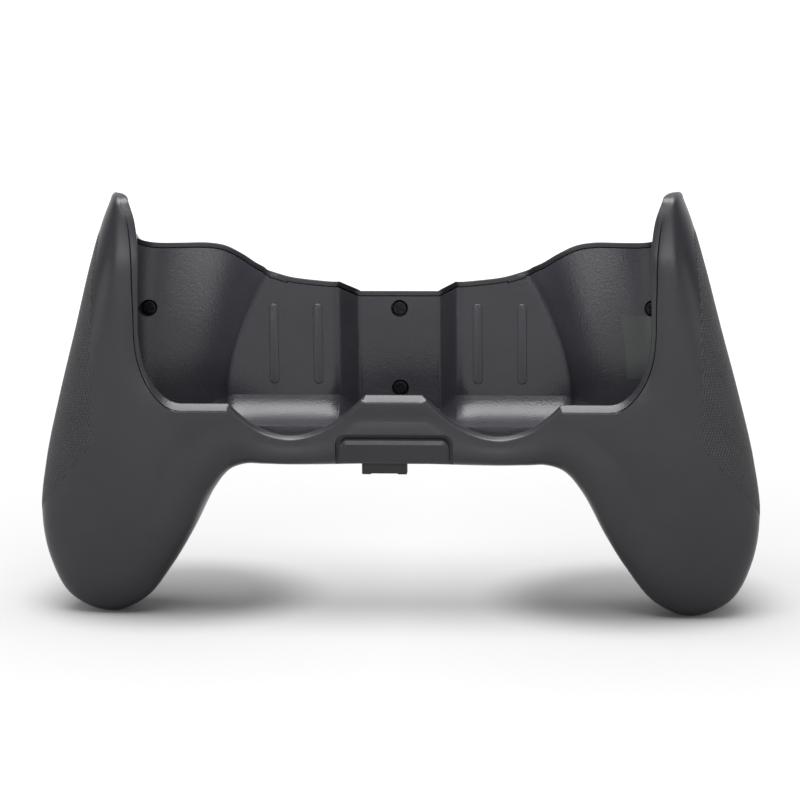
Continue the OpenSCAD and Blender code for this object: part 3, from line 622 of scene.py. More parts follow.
shell_plastic = moulded_plastic("charcoal_abs", "#252529", "#29292d", 0.33)
# The liner's colour is a little lighter than the shell's: painted light that brightens the deep inside of
# the cradle.
liner_plastic = moulded_plastic("charcoal_abs_liner_painted_light", "#29292e", "#2d2d32", 0.33, grain_depth=0.09)
plate_plastic = moulded_plastic("charcoal_abs_plate", "#212125", "#252529", 0.33)
black_plastic = moulded_plastic("black_acetal", "#18181a", "#1c1c1e", 0.4)
inner_plastic = moulded_plastic("charcoal_abs_inside", "#3a3b3e", "#3e3f42", 0.5)
print("moulded plastics, such as", shell_plastic.name)

# %% [markdown]
# ### Textured skin
# The skins are rubber with a raised diamond pattern, so that a damp hand doesn't slip. Thousands of
# small pyramids could be modelled, but from a step away only their shading shows. Two crossed waves,
# multiplied, rise where both are high, which is a grid of diamonds.

# %% Textured skin
# Thermoplastic rubber, moulded with raised diamonds about 1 mm from ridge to ridge, which give the dull
# face a fine sparkle. The pattern follows the piece's own UV map, which is drawn in millimetres.
ridge_lean = 32
ridge_height = 0.28
rubber_drift_mm = 12
wave_period = 0.314  # from ridge to ridge of a wave texture at a scale of 1


def textured_rubber(name, dark, light, pitch_mm):
    material, tree, shader = new_material(name, IOR=1.5, Roughness=0.55)
    coords = add(tree, "ShaderNodeTexCoord")
    drift = mottled(tree, coords.outputs["Object"], dark, light, rubber_drift_mm)
    tree.links.new(drift, shader.inputs["Base Color"])
    both = add(tree, "ShaderNodeMath", {"operation": "MULTIPLY"})
    for entry, turn in enumerate((ridge_lean, -ridge_lean)):
        turned = add(tree, "ShaderNodeMapping", {"Rotation": (0, 0, radians(turn))},
                     Vector=coords.outputs["UV"])
        wave = add(tree, "ShaderNodeTexWave", {"Scale": wave_period / pitch_mm, "bands_direction": "X"},
                   Vector=turned.outputs["Vector"])
        tree.links.new(wave.outputs["Fac"], both.inputs[entry])
    bump = add(tree, "ShaderNodeBump", {"Strength": 1.0, "Distance": ridge_height * MM},
               Height=both.outputs["Value"])
    tree.links.new(bump.outputs["Normal"], shader.inputs["Normal"])
    return material


skin_rubber = textured_rubber("diamond_rubber", "#252528", "#2a2a2d", 1.0)
print("rubber:", skin_rubber.name)

# %% [markdown]
# ### Metals
# The screws that show are blackened, and the pieces inside are plated. One roughness would make them look
# like new chrome. The fine scratches could be drawn one by one, but noise in the roughness breaks up the
# highlights in the same way.

# %% Metals
# Blackened steel has a dark, oily sheen, zinc plating a bright grey one, and pouch foil a pale one.
scratch_spread = 0.08


def worn_metal(name, dark, light, roughness, scratch_mm):
    material, tree, shader = new_material(name, Metallic=1, Roughness=roughness)
    place = add(tree, "ShaderNodeTexCoord").outputs["Object"]
    tree.links.new(mottled(tree, place, dark, light, scratch_mm), shader.inputs["Base Color"])
    lines = add(tree, "ShaderNodeTexNoise", {"Scale": pattern_scale(scratch_mm), "Detail": 6}, Vector=place)
    spread = add(tree, "ShaderNodeMapRange",
                 {"To Min": roughness - scratch_spread, "To Max": roughness + scratch_spread},
                 Value=lines.outputs["Fac"])
    tree.links.new(spread.outputs["Result"], shader.inputs["Roughness"])
    return material


black_steel = worn_metal("black_oxide_steel", "#1e1e20", "#2a2a2c", 0.42, 0.8)
plain_steel = worn_metal("zinc_plated_steel", "#a9abae", "#b7b9bc", 0.3, 0.7)
pouch_foil = worn_metal("cell_pouch_foil", "#b4b6ba", "#c2c4c8", 0.35, 6)
print("metals, such as", black_steel.name)

# %% [markdown]
# ### Soft and coated things
# A board, foam tape, wires and the label's film differ in colour and gloss more than in kind. Each could
# have its own nodes. One function with a colour, a roughness and the size of its texture serves them all.

# %% Soft and coated things
# Lacquered fibreglass is glossy, foam is dull, silicone has a soft sheen, and the label's film a smooth
# one.
finer_by = 6
weave_strength = 0.4


def coated(name, dark, light, roughness, size_mm, bump_mm=0.01):
    material, tree, shader = new_material(name, Roughness=roughness)
    place = add(tree, "ShaderNodeTexCoord").outputs["Object"]
    tree.links.new(mottled(tree, place, dark, light, size_mm), shader.inputs["Base Color"])
    weave = add(tree, "ShaderNodeTexNoise", {"Scale": pattern_scale(size_mm / finer_by), "Detail": 3},
                Vector=place)
    bump = add(tree, "ShaderNodeBump", {"Strength": weave_strength, "Distance": bump_mm * MM},
               Height=weave.outputs["Fac"])
    tree.links.new(bump.outputs["Normal"], shader.inputs["Normal"])
    return material


board_lacquer = coated("green_fibreglass", "#14482c", "#185232", 0.35, 4)
foam_tape = coated("foam_tape", "#b9b6aa", "#c5c2b6", 0.8, 1.5, 0.1)
wire_sleeve = coated("silicone_wire", "#8e1f18", "#9a261e", 0.5, 2)
label_film = coated("bare_film", "#292e2d", "#2d3231", 0.3, 9)
print("finishes in all:", len(bpy.data.materials))

# %% [markdown]
# ## Making a piece
# Each moulded piece is a skin of smooth faces with holes in it. Its vertices and faces could be listed
# by hand. Here a flat grid is made by an operator, and each of its vertices is carried to its place on
# the surface, so its faces need no list. Holes are carved by the boolean modifier, whose Manifold
# solver is quick and keeps closed shapes closed. Every piece replaces its node, rides on its body and
# gets its finish.

# %% Piece helpers
seam_merge = 2e-6
sliver = 1e-7


def lofted(rows, columns, place):
    """A grid whose vertex in a row and column is carried to place(row, column)."""
    bm = bmesh.new()
    bmesh.ops.create_grid(bm, x_segments=columns - 1, y_segments=rows - 1, size=1)
    for v in bm.verts:
        column = round((v.co.x + 1) / 2 * (columns - 1))
        row = round((v.co.y + 1) / 2 * (rows - 1))
        v.co = place(row, column)
    bm.normal_update()
    return bm


def closed(bm):
    """Merges the seam of a loft and turns its faces outwards."""
    bmesh.ops.remove_doubles(bm, verts=bm.verts, dist=seam_merge)
    bmesh.ops.dissolve_degenerate(bm, dist=sliver, edges=bm.edges)
    bmesh.ops.recalc_face_normals(bm, faces=bm.faces)
    return bm


def rounded(bm, edges, radius, segments):
    """Rounds edges of a mesh."""
    bmesh.ops.bevel(bm, geom=edges, offset=radius, affect="EDGES", segments=segments, profile=0.5,
                    material=-1)


# %% Objects and booleans
def mesh_object(bm, name):
    mesh = bpy.data.meshes.new(name)
    bm.to_mesh(mesh)
    bm.free()
    piece = bpy.data.objects.new(name, mesh)
    scene.collection.objects.link(piece)
    return piece


def shape_with(piece, tool_bm, operation="DIFFERENCE"):
    """Cuts a tool out of a piece, or joins it on."""
    tool = mesh_object(closed(tool_bm), "tool")
    step = piece.modifiers.new("shape", "BOOLEAN")
    step.object = tool
    step.operation = operation
    step.solver = "MANIFOLD"
    shaped = bpy.data.meshes.new_from_object(piece.evaluated_get(bpy.context.evaluated_depsgraph_get()))
    piece.modifiers.clear()
    piece.data = shaped
    bpy.data.objects.remove(tool)


def finished(piece, material, slot, body, *nodes, crease=32):
    """Shades a piece, gives it its finish and its place in the frame."""
    piece.data.materials.clear()
    piece.data.materials.append(material)
    piece.data.shade_smooth()
    piece.data.set_sharp_from_angle(angle=radians(crease))
    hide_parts(*nodes)
    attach(piece, body)
    print(piece.name, "has", len(piece.data.polygons), "faces")


# %% Rods and slabs
def rod(start, end, radius, segments=40):
    """A closed cylinder between two points of the frame."""
    bm = bmesh.new()
    axis = end - start
    bmesh.ops.create_cone(bm, cap_ends=True, segments=segments, radius1=radius, radius2=radius,
                          depth=axis.length)
    turn = axis.to_track_quat("Z", "Y").to_matrix().to_4x4()
    bmesh.ops.transform(bm, matrix=Matrix.Translation((start + end) / 2) @ turn, verts=bm.verts)
    return bm


def slab(low, high, bevel=0, segments=3):
    """A box between two corners of the frame, with soft edges if asked."""
    bm = bmesh.new()
    bmesh.ops.create_cube(bm, size=1)
    bmesh.ops.scale(bm, vec=high - low, verts=bm.verts)
    bmesh.ops.translate(bm, vec=(low + high) / 2, verts=bm.verts)
    if bevel:
        rounded(bm, bm.edges, bevel, segments)
    return bm


# %% [markdown]
# ## The shells
# The two shells are hollow halves that meet along the handles' sides. They could be solid forms that
# are hollowed with a modifier, but the wall would then bulge where the fins get narrow. Here each
# section is a closed ring: the outside, the edge, the inside and the lip or flange. The rings are
# lofted from one fin tip to the other, and a small dome closes each tip.

# %% Shell loft
ribs_per_station = 8
outer_steps = 46
inner_steps = 12
dome_rows = 7


def dome(ring, turn, tip):
    """A ring on its way to the tip of the dome: turn is 0 at the ring and 1 at the tip."""
    middle = sum(ring, Vector()) / len(ring)
    quarter = radians(90 * turn)
    return [middle + (v - middle) * cos(quarter) + tip * sin(quarter) for v in ring]


def shell(ring_at, name, tip):
    """Lofts the rings of a shell from the left tip to the right tip."""
    count = last * ribs_per_station
    right = [ring_at(k / ribs_per_station) for k in range(count + 1)]
    right += [dome(right[count], k / dome_rows, tip) for k in range(1, dome_rows + 1)]
    size = len(right[0])
    middle = len(right) - 1

    def place(row, column):
        v = right[abs(row - middle)][column % size]
        return frame_point(v.x if row >= middle else -v.x, v.y, v.z)

    return mesh_object(closed(lofted(2 * middle + 1, size + 1, place)), name)


# %% Rings of the shells
edge_round = 0.25
lip_round = 0.3
chamfer_round = 0.5
flange_under_round = 0.2
flange_round = 0.4
rim_round = 1.6
round_steps = 3
# A fine groove sets the fins' trim off, and fades out at both ends.
trim_groove = 0.7
trim_start_s = 9.6
trim_end_s = last - 2
trim_fade_s = 1.5


def front_ring(s):
    p = lip(s)
    lip_inside = Vector((p.x, p.y + lip_back - lip_depth, p.z))
    outside = [front_point(s, k / outer_steps, 0) for k in range(outer_steps + 1)]
    inside = [front_point(s, 1 - k / inner_steps, wall) for k in range(inner_steps + 1)]
    ring = eased(inside[-1], lip_inside, p, edge_round, round_steps)
    ring += eased(lip_inside, p, outside[0], lip_round, round_steps)
    turn = eased(p, outside[0], outside[2], chamfer_round)
    turn[2].y += trim_groove * ramp(s, trim_start_s, trim_fade_s) * (1 - ramp(s, trim_end_s, trim_fade_s))
    ring += turn + outside[2:-1]
    ring += eased(outside[-2], outside[-1], inside[0], edge_round, round_steps) + inside[:-1]
    return ring


def rear_ring(s):
    b = rim(s)
    under = flange_in(s, wall)
    front_top = Vector((b.x, flange_depth(s), b.z))
    front_low = Vector((under.x, flange_depth(s), under.z))
    outside = [rear_point(s, k / outer_steps, 0) for k in range(outer_steps + 1)]
    inside = [rear_point(s, 1 - k / inner_steps, wall) for k in range(inner_steps + 1)]
    ring = eased(inside[-1], front_low, front_top, flange_under_round, round_steps)
    ring += eased(front_low, front_top, outside[0], flange_round, round_steps)
    ring += eased(front_top, outside[0], outside[3], rim_round) + outside[3:-1]
    ring += eased(outside[-2], outside[-1], inside[0], edge_round, round_steps) + inside
    return ring


print("points in a ring of the front shell:", len(front_ring(0)))

# %% [markdown]
# ### Front shell
# The front half of both handles, the bridge, the front wall and the fins. The bridge has a shallow
# recess for the plate and a slot for the lock's knob. Both could be worked into the loft, but they
# would need their own stations. They are cut after it, which leaves the loft's curves as they are.

# %% Lock and plate sizes
lock_depth = 4.9
lock_travel = 6.5
slide_gap = 0.2
knob_length = 14.9
knob_width = 3.6
knob_drop = 3.4
knob_x0 = -(knob_length + lock_travel) / 2 - 0.5
plate_half = 17.9
plate_drop = 8.1
plate_top_z = bridge_z + 9.8
plate_tilt = 12
plate_thick = 2.2
plate_y = -2.6
plate_bevel = 1.2
plate_bevel_rise = 0.6
plate_corner = 2.6
corner_segments = 8
print("the lock's slot is", round(knob_length + lock_travel, 1), "mm long")


# %% Front shell
recess_margin = 1.4
recess_top_z = plate_top_z + 1.8
recess_drop = 16
recess_reach = 12
recess_corner = plate_corner + 0.6
slot_cut = 4
front_dome = Vector((0, 2.5, 2.25))
touch = 0.001 * MM


def plate_slab(half, top, low, front, corner_round, bevelled):
    """An upright slab on the tilted plane of the recess, with round top corners."""
    bm = slab(Vector((-half, -front, -low)) * MM, Vector((half, 0, 0)) * MM)
    top_corners = [e for e in bm.edges if all(v.co.z > -touch for v in e.verts)
                   and abs(e.verts[0].co.x - e.verts[1].co.x) < touch]
    rounded(bm, top_corners, corner_round * MM, segments=corner_segments)
    if bevelled:
        face = [f for f in bm.faces if all(v.co.y < -front * MM + touch for v in f.verts)]
        bmesh.ops.inset_region(bm, faces=face, thickness=plate_bevel * MM, depth=plate_bevel_rise * MM)
    turn = Matrix.Translation(frame_point(0, plate_y, top)) @ Matrix.Rotation(radians(plate_tilt), 4, "X")
    bmesh.ops.transform(bm, matrix=turn, verts=bm.verts)
    return bm


front = shell(front_ring, "front_shell_skin", front_dome)
shape_with(front, plate_slab(plate_half + recess_margin, recess_top_z, recess_drop, recess_reach,
                             recess_corner, False))
slot_reach = knob_width / 2 + slide_gap
shape_with(front, slab(frame_point(knob_x0 - slide_gap, lock_depth - slot_reach, bridge_z - slot_cut),
                       frame_point(knob_x0 + knob_length + lock_travel + slide_gap,
                                   lock_depth + slot_reach, bridge_z + slot_cut)))
finished(front, shell_plastic, "shell_plastic", "grip", "front_shell")

# %% [markdown]
# ### Rear shell
# The back half, with four counterbores for the handle screws, a charging port and two snap tabs over
# the blocks. The tabs could be separate boxes, but they are moulded in one with the shell, so they are
# joined to it by a boolean. They lean with the rim, so that no dark wedge opens over them.

# %% Rear shell sizes
handle_screws = [(foot_x, 21), (foot_x + 4.5, bridge_z + 10)]
handle_seat = part_depth + 13
counterbore = 5.8
bore_past = 12
bar_z = bridge_z + wall + 1.7
board_thick = 1.2
socket_z = bar_z + board_thick + 1.6
port_width = 9.6
port_height = 3.8
port_cut = 8
station_steps = 168
stations = [k * last / station_steps for k in range(station_steps + 1)]
rear_dome = Vector((0, 0, 0.9))


def rim_over(x):
    """Height of the back rim over a place."""
    places = [rim(s) for s in stations]
    return float(np.interp(x, [v.x for v in places], [v.z for v in places]))


tab_x = block_out_top - 5.8
tab_half = 3
tab_round = 0.3
tab_rim_z = rim_over(tab_x - tab_half)
tab_z = tab_rim_z - rim_thick - 0.6
tab_top_z = tab_rim_z - rim_thick / 2 - 0.1
tab_slope = (rim_over(tab_x + tab_half) - tab_rim_z) / (2 * tab_half)
liner_wall = 2
print("the snap tabs rise", round(tab_slope, 2), "mm on each millimetre outwards")


# %% Rear shell
def tab_block(side, margin, front, back, low, high, bevel=0):
    """A snap tab, or the opening for it, that leans with the rim over it."""
    bm = slab(frame_point(side * tab_x - tab_half - margin, front, low),
              frame_point(side * tab_x + tab_half + margin, back, high), bevel, segments=2)
    for v in bm.verts:
        v.co.z += tab_slope * (abs(v.co.x) - (tab_x - tab_half) * MM)
    return bm


def pill_bar(middle, width, height, start, end):
    """A bar along the depth with a round-ended section."""
    bm = rod(frame_point(middle.x, start, middle.z), frame_point(middle.x, end, middle.z), height / 2 * MM)
    stretch = (width - height) / 2 * MM
    for v in bm.verts:
        v.co.x += stretch if v.co.x > middle.x * MM else -stretch
    return bm


rear = shell(rear_ring, "rear_shell_skin", rear_dome)
for side in (-1, 1):
    for x, z in handle_screws:
        shape_with(rear, rod(frame_point(side * x, handle_seat, z),
                             frame_point(side * x, back_depth + bore_past, z), counterbore / 2 * MM))
    tab = tab_block(side, 0, slot_depth, slot_depth + liner_wall, tab_z, tab_top_z, tab_round * MM)
    shape_with(rear, tab, "UNION")
shape_with(rear, pill_bar(Vector((0, 0, socket_z)), port_width, port_height, back_depth - port_cut,
                          back_depth + port_cut))
finished(rear, shell_plastic, "shell_plastic", "grip", "rear_shell")

# %% [markdown]
# ## The cradle liner
# The liner is the tray that the screen rests in: the floor, the blocks and the channels in one
# moulding. It could be carved from a solid, but most of it is one flowing wall. So it is one sheet,
# from the floor's front edge over a wide fillet and up the walls to just under the flange. It gets its
# thickness at the end, so that the fillet and the soft block corners stay true on the side that shows.

# %% Liner top edge
top_gap = 0.24
fin_rim_s = 13
fin_lip_s = 16.5
behind_lip = 2.2
flange_gap = 0.8
tip_gap = 2.2
fin_top_gap = 1.4
search_passes = 4
under_flange = [(flange_in(s, wall).x, flange_in(s, wall).z) for s in stations]
flange_edge = [(flange_depth(s), flange_in(s, wall).z) for s in stations if s > fin_rim_s]
lip_line = [(lip(s).y + behind_lip, lip(s).z) for s in stations if s > fin_lip_s]
line_size = len(cradle_line(floor_z))
fin_column = line_size - side_steps - 1


def level(points, at):
    ordered = sorted(points)
    return float(np.interp(at, [p[0] for p in ordered], [p[1] for p in ordered]))


def liner_top(j):
    """Height of the liner's top edge at a column of its section."""
    if j < fin_column:
        z = block_top_z
        for _ in range(search_passes):
            z = level(under_flange, cradle_line(z)[j].x) - top_gap
        return z
    depth = cradle_line(rim_z)[j].y
    limits = (level(flange_edge, depth) - flange_gap, level(lip_line, depth), fin_z - tip_gap)
    return min(limits) - fin_top_gap


print("the liner's top edge over the spine:", round(liner_top(0), 1), "mm")

# %% Liner columns
floor_front = slot_depth - floor_fillet
floor_edge = 2.9
floor_edge_drop = 0.25
floor_edge_lean = 0.15
floor_edge_share = 0.04
ledge_front = lip_back + 0.2
fillet_turn = radians(68)
spine_fillet = 3
channel_fillet = 4
fillet_narrows_x = block_out_low - 2
fillet_narrow_x = block_out_low + 9
# Under the channels the floor's front edge draws in, and under the fins it turns forward.
foot_turn_x = 60
side_foot = 77
fin_foot_front = 1.6
fin_foot_out = 1.2
edge_rows = 3
floor_rows = 4
fillet_rows = 12
wall_rows = 36


def fillet_at(x):
    """Radius of the turn into the floor: wide at the blocks, small at the spine and in the channels."""
    places = [spine_half, block_in_x, fillet_narrows_x, fillet_narrow_x]
    return float(np.interp(x, places, [spine_fillet, floor_fillet, floor_fillet, channel_fillet]))


def liner_foot(j):
    """Where a column starts, at the floor's front edge."""
    at_floor = cradle_line(floor_z)[j]
    along_fin = max(0, j - fin_column) / side_steps
    foot = Vector((at_floor.x, floor_front - fin_foot_front * along_fin))
    if at_floor.x > foot_turn_x:
        out = (at_floor.x - foot_turn_x) / (slot_half - foot_turn_x)
        foot.x = mix(foot_turn_x, side_foot, out) + fin_foot_out * along_fin
    return foot


# %% Points of a liner column
@lru_cache(maxsize=None)
def liner_column(j):
    """The liner's points above one another at a column of its section."""
    at_floor = cradle_line(floor_z)[j]
    foot = liner_foot(j)
    away = (at_floor - foot).normalized()
    fillet = fillet_at(at_floor.x)
    points = [frame_point(foot.x, ledge_front, floor_z - floor_edge),
              frame_point(foot.x, foot.y - floor_edge_lean, floor_z - floor_edge),
              frame_point(foot.x, foot.y, floor_z - floor_edge_drop)]
    bottom = at_floor - away * fillet * sin(fillet_turn)
    for k in range(floor_rows):
        v = foot.lerp(bottom, mix(floor_edge_share, 1, k / floor_rows))
        points.append(frame_point(v.x, v.y, floor_z))
    for k in range(fillet_rows):
        a = fillet_turn * k / fillet_rows
        z = floor_z + fillet * (1 - cos(a))
        v = cradle_line(z)[j] - away * fillet * (sin(fillet_turn) - sin(a))
        points.append(frame_point(v.x, v.y, z))
    crease_z = floor_z + fillet * (1 - cos(fillet_turn))
    top = liner_top(j)
    for k in range(wall_rows + 1):
        z = mix(crease_z, top, k / wall_rows)
        v = cradle_line(z)[j]
        points.append(frame_point(v.x, v.y, z))
    return points


# %% Liner sheet
liner_sheet = 1.2
liner_middle = line_size - 1


def liner_place(row, column):
    v = liner_column(abs(column - liner_middle))[row].copy()
    if column < liner_middle:
        v.x = -v.x
    return v


sheet = lofted(edge_rows + floor_rows + fillet_rows + wall_rows + 1, 2 * liner_middle + 1, liner_place)
spine_middle = frame_point(0, spine_depth, (floor_z + spine_top_z) / 2)
middle_face = min(sheet.faces, key=lambda f: (f.calc_center_median() - spine_middle).length)
if middle_face.normal.y > 0:
    bmesh.ops.reverse_faces(sheet, faces=sheet.faces)
bmesh.ops.solidify(sheet, geom=sheet.faces, thickness=liner_sheet * MM)
liner = mesh_object(closed(sheet), "cradle_liner_skin")
print("the liner's sheet has", len(liner.data.polygons), "faces")

# %% [markdown]
# ### Liner details
# The blocks have raised ribs that the screen rests on, the walls have cups for the screws, and the
# floor has openings for the plug and the two hooks. All could be drawn into the sheet's grid, but the
# grid would have to be very fine round each. Booleans add and cut them where they are.

# %% Liner details
rest_rib_x = (26.5, 41.2)
rest_rib_z = (floor_z + 11.8, floor_z + 38.8)
rest_rib_w = 3.3
rest_rib_rise = 0.22
rest_rib_root = 0.6
rest_rib_round = 0.45
rest_rib_segments = 32


def rest_rib(x):
    """A raised rib with round ends and a soft top edge, rooted in the wall."""
    bm = bmesh.new()
    height = rest_rib_rise + rest_rib_root
    radius = rest_rib_w / 2 * MM
    bmesh.ops.create_cone(bm, cap_ends=True, segments=rest_rib_segments, radius1=radius, radius2=radius,
                          depth=height * MM)
    stretch = (rest_rib_z[1] - rest_rib_z[0] - rest_rib_w) / 2 * MM
    for v in bm.verts:
        v.co.y += stretch if v.co.y > 0 else -stretch
    crown = [e for e in bm.edges if all(v.co.z > height / 2 * MM - sliver for v in e.verts)]
    rounded(bm, crown, rest_rib_round * MM, segments=3)
    seat = frame_point(x, slot_depth + rest_rib_root - height / 2, sum(rest_rib_z) / 2)
    turn = Matrix.Translation(seat) @ Matrix.Rotation(radians(90), 4, "X")
    bmesh.ops.transform(bm, matrix=turn, verts=bm.verts)
    return bm


for side in (-1, 1):
    for x in rest_rib_x:
        shape_with(liner, rest_rib(side * x), "UNION")
print("rest ribs:", 2 * len(rest_rib_x))

# %% Liner openings
spine_screw_z = (spine_top_z - 5.8, floor_z + 8.8)
spine_seat = spine_depth + 2.2
side_screw_x = slot_half - 4
side_screw_z = rim_z - 21.2
side_seat = cradle_depth(side_screw_x, side_screw_z) + 3.2
cup_wall = 0.8
cup_floor = 1.2
cup_lap = 0.2
bore_front = 2
plug_y = lock_depth + 2.5 + 3.2
plug_half = 6.2
plug_reach = 2.8
hook_w = 3
hook_x = (knob_x0 - 1.2, knob_x0 + knob_length + 4.6)
hook_gap = 0.4
hook_reach = 1.4
opening_low = floor_z - 6
opening_high = floor_z + 3
tab_gap = 0.15
tab_under = 0.2
tab_cut_front = 2
tab_cut = 6

recesses = [(0, z, spine_seat) for z in spine_screw_z]
recesses += [(side * side_screw_x, side_screw_z, side_seat) for side in (-1, 1)]
for x, z, seat in recesses:
    cup = rod(frame_point(x, seat - cup_lap, z), frame_point(x, seat + cup_floor, z),
              (counterbore / 2 + cup_wall) * MM)
    shape_with(liner, cup, "UNION")
    shape_with(liner, rod(frame_point(x, bore_front, z), frame_point(x, seat, z), counterbore / 2 * MM))
openings = [(-plug_half, plug_half, plug_y, plug_reach)]
openings += [(x - hook_w / 2 - hook_gap, x + hook_w / 2 + lock_travel + hook_gap, lock_depth, hook_reach)
             for x in hook_x]
for left, right, depth, reach in openings:
    shape_with(liner, slab(frame_point(left, depth - reach, opening_low),
                           frame_point(right, depth + reach, opening_high)))
for side in (-1, 1):
    shape_with(liner, tab_block(side, tab_gap, slot_depth - tab_cut_front, slot_depth + tab_cut,
                                tab_z - tab_under, block_top_z + tab_cut))
finished(liner, liner_plastic, "liner_plastic", "grip", "cradle_liner", crease=18)

# %% [markdown]
# ## The textured skins
# Each skin is a thin sheet of rubber, glued on the outer side of a handle, over both shells. Its
# outline could be painted on the shells as a second finish, but a real skin has a border with a
# thickness. So it is a sheet of its own that follows the shells' surfaces, a little outside them, with
# its rim rolled in. A UV map in millimetres lets the diamond pattern keep its pitch.

# %% Outline of a skin
skin_in_low = grip_half - 27.2
skin_in_high = grip_half - 22.9
skin_in_s = 14
skin_in_run = 4.5
skin_low_s = 13.8
skin_start_s = 14.87
skin_end_s = 19.95
skin_limit = 0.94
skin_rear_limit = 0.5
skin_shear_power = 0.6
rear_taper_s = 1.7
rear_taper_power = 0.8
skin_front = 40
skin_rear = 44
skin_roll = 3
roll_step = 0.045


def share_of(across, n):
    """The share of a superellipse at which it has come that far across."""
    turn = 2 ** (-1 / n)
    if across <= turn:
        return across / (2 * turn)
    return 1 - (1 - across**n) ** (1 / n) / (2 * turn)


def skin_reach(s, inner_x, outer_x):
    """How far across a surface the skin's upright border lies at a station."""
    border_x = mix(skin_in_low, skin_in_high, clamp((s - skin_in_s) / skin_in_run))
    return min(skin_limit, clamp((border_x - inner_x) / (outer_x - inner_x)))


def border_shares(count):
    """Shares from 0 to 1 that start with a few close steps, for the rolled border."""
    close = [roll_step * k for k in range(skin_roll + 1)]
    rest = count - skin_roll
    return close + [mix(close[-1], 1, k / rest) for k in range(1, rest + 1)]


# %% Line across a skin
@lru_cache(maxsize=None)
def skin_border(s):
    """The share of the front surface at which the skin's upright border crosses a station."""
    return share_of(skin_reach(s, lip(s).x, edge(s).x), power(s, True))


def skin_line(s, off):
    """Points across a skin, from its front border, at a lower station, round the side to its rear edge."""
    border_s = mix(skin_low_s, skin_end_s, (s - skin_start_s) / (skin_end_s - skin_start_s))
    first = superellipse(skin_border(s), power(s, True))[0]
    line = []
    for u in border_shares(skin_front):
        across = superellipse(mix(skin_border(s), 1, u), power(s, True))[0]
        at = mix(border_s, s, ((across - first) / (1 - first)) ** skin_shear_power)
        line.append(front_point(at, mix(skin_border(at), 1, u), off))
    taper = ramp(s, skin_start_s, rear_taper_s) ** rear_taper_power
    rear_reach = mix(skin_limit, skin_reach(s, rim(s).x, edge(s).x), taper)
    rear_share = share_of(max(skin_rear_limit, rear_reach), power(s, False))
    line += [rear_point(s, mix(rear_share, 1, u), off) for u in reversed(border_shares(skin_rear)[:-1])]
    return line


print("points across a skin:", len(skin_line(skin_start_s, 0)))

# %% Grip skins
skin_rows = 110
skin_thick = 0.13
skin_sink = 0.04
skin_sheet = 0.3


def skin_lines():
    """The rows of a skin, sunk to the shells along its border and raised inside it."""
    rows = border_shares(skin_rows // 2)
    rows = [u / 2 for u in rows] + [1 - u / 2 for u in reversed(rows[:-1])]
    lines = []
    for row, u in enumerate(rows):
        s = mix(skin_start_s, skin_end_s, u)
        top = skin_line(s, -skin_thick)
        base = skin_line(s, skin_sink)
        end = min(row, len(rows) - 1 - row) / skin_roll
        lines.append([b.lerp(t, smooth(min(1, end, k / skin_roll, (len(top) - 1 - k) / skin_roll)))
                      for k, (t, b) in enumerate(zip(top, base))])
    return lines


def grip_skin(side, lines):
    columns = len(lines[0])

    def place(row, column):
        v = lines[row][column]
        return frame_point(side * v.x, v.y, v.z)

    bm = lofted(len(lines), columns, place)
    layer = bm.loops.layers.uv.new("millimetres")
    runs = [np.cumsum([0] + [(b - a).xy.length for a, b in zip(line, line[1:])]) for line in lines]
    bm.verts.index_update()
    for face in bm.faces:
        for loop in face.loops:
            row, column = divmod(loop.vert.index, columns)
            loop[layer].uv = (runs[row][column] - runs[row][skin_front], lines[row][column].z)
    outermost = max(bm.faces, key=lambda f: abs(f.calc_center_median().x))
    if outermost.normal.x * side < 0:
        bmesh.ops.reverse_faces(bm, faces=bm.faces)
    bmesh.ops.solidify(bm, geom=bm.faces, thickness=skin_sheet * MM)
    return bm


sides = ((-1, "left"), (1, "right"))
rows_of_skin = skin_lines()
for side, word in sides:
    skin = mesh_object(grip_skin(side, rows_of_skin), word + "_grip_skin_textured")
    finished(skin, skin_rubber, "grip_skin", "grip", word + "_grip_skin", crease=60)

# %% [markdown]
# ## Front plate
# A small raised plate in the recess over the lock, with round top corners and a chamfer all round its
# face. It could be a box with every edge bevelled, but the lower corners are square. The slab that cut
# the recess is used again, smaller, and an inset raises the face.

# %% Front plate
plate_face = plate_thick - plate_bevel_rise
plate_bm = plate_slab(plate_half, plate_top_z, plate_drop, plate_face, plate_corner, True)
plate = mesh_object(closed(plate_bm), "front_plate_soft")
finished(plate, plate_plastic, "plate_plastic", "grip", "front_plate", crease=20)

# %% [markdown]
# ## Lock knob
# The black slider under the bridge, which a finger pushes to free the screen. Its hollow underside
# could be lofted. A soft-edged slab with a shallow cut is quicker, and shows the same two feet.

# %% Lock knob
knob_foot = 3
knob_hollow = 0.35
knob_round = 0.35
hollow_round = 0.15
knob_low = bridge_z - knob_drop
knob_bm = slab(frame_point(knob_x0, lock_depth - knob_width / 2, knob_low),
               frame_point(knob_x0 + knob_length, lock_depth + knob_width / 2, bar_z), knob_round * MM)
knob = mesh_object(closed(knob_bm), "lock_knob_soft")
shape_with(knob, slab(frame_point(knob_x0 + knob_foot, lock_depth - knob_width, knob_low - 1),
                      frame_point(knob_x0 + knob_length - knob_foot, lock_depth + knob_width,
                                  knob_low + knob_hollow), hollow_round * MM, segments=2))
finished(knob, black_plastic, "black_plastic", "lock", "lock_knob")

# %% [markdown]
# ## Screws
# Eight screws hold the shells and the liner together, with round heads and cross recesses. A thread
# could be wound round each shank, but no shank shows. So each is a head with a rounded rim, a plain
# shank and two crossed cuts, made by one function and put where its seat is.

# %% Screws
screw_head = 5.0
head_height = 1.7
head_round = 0.6
head_top_share = 0.9
head_segments = 48
shank = 2.0
shank_lap = 0.1
shank_segments = 24
cross_reach = 1.4
cross_half = 0.38
cross_deep = 0.9
cross_above = 0.6
cross_turns = (25, 115)
spine_screw_gap = 1.2
handle_screw_length = 16


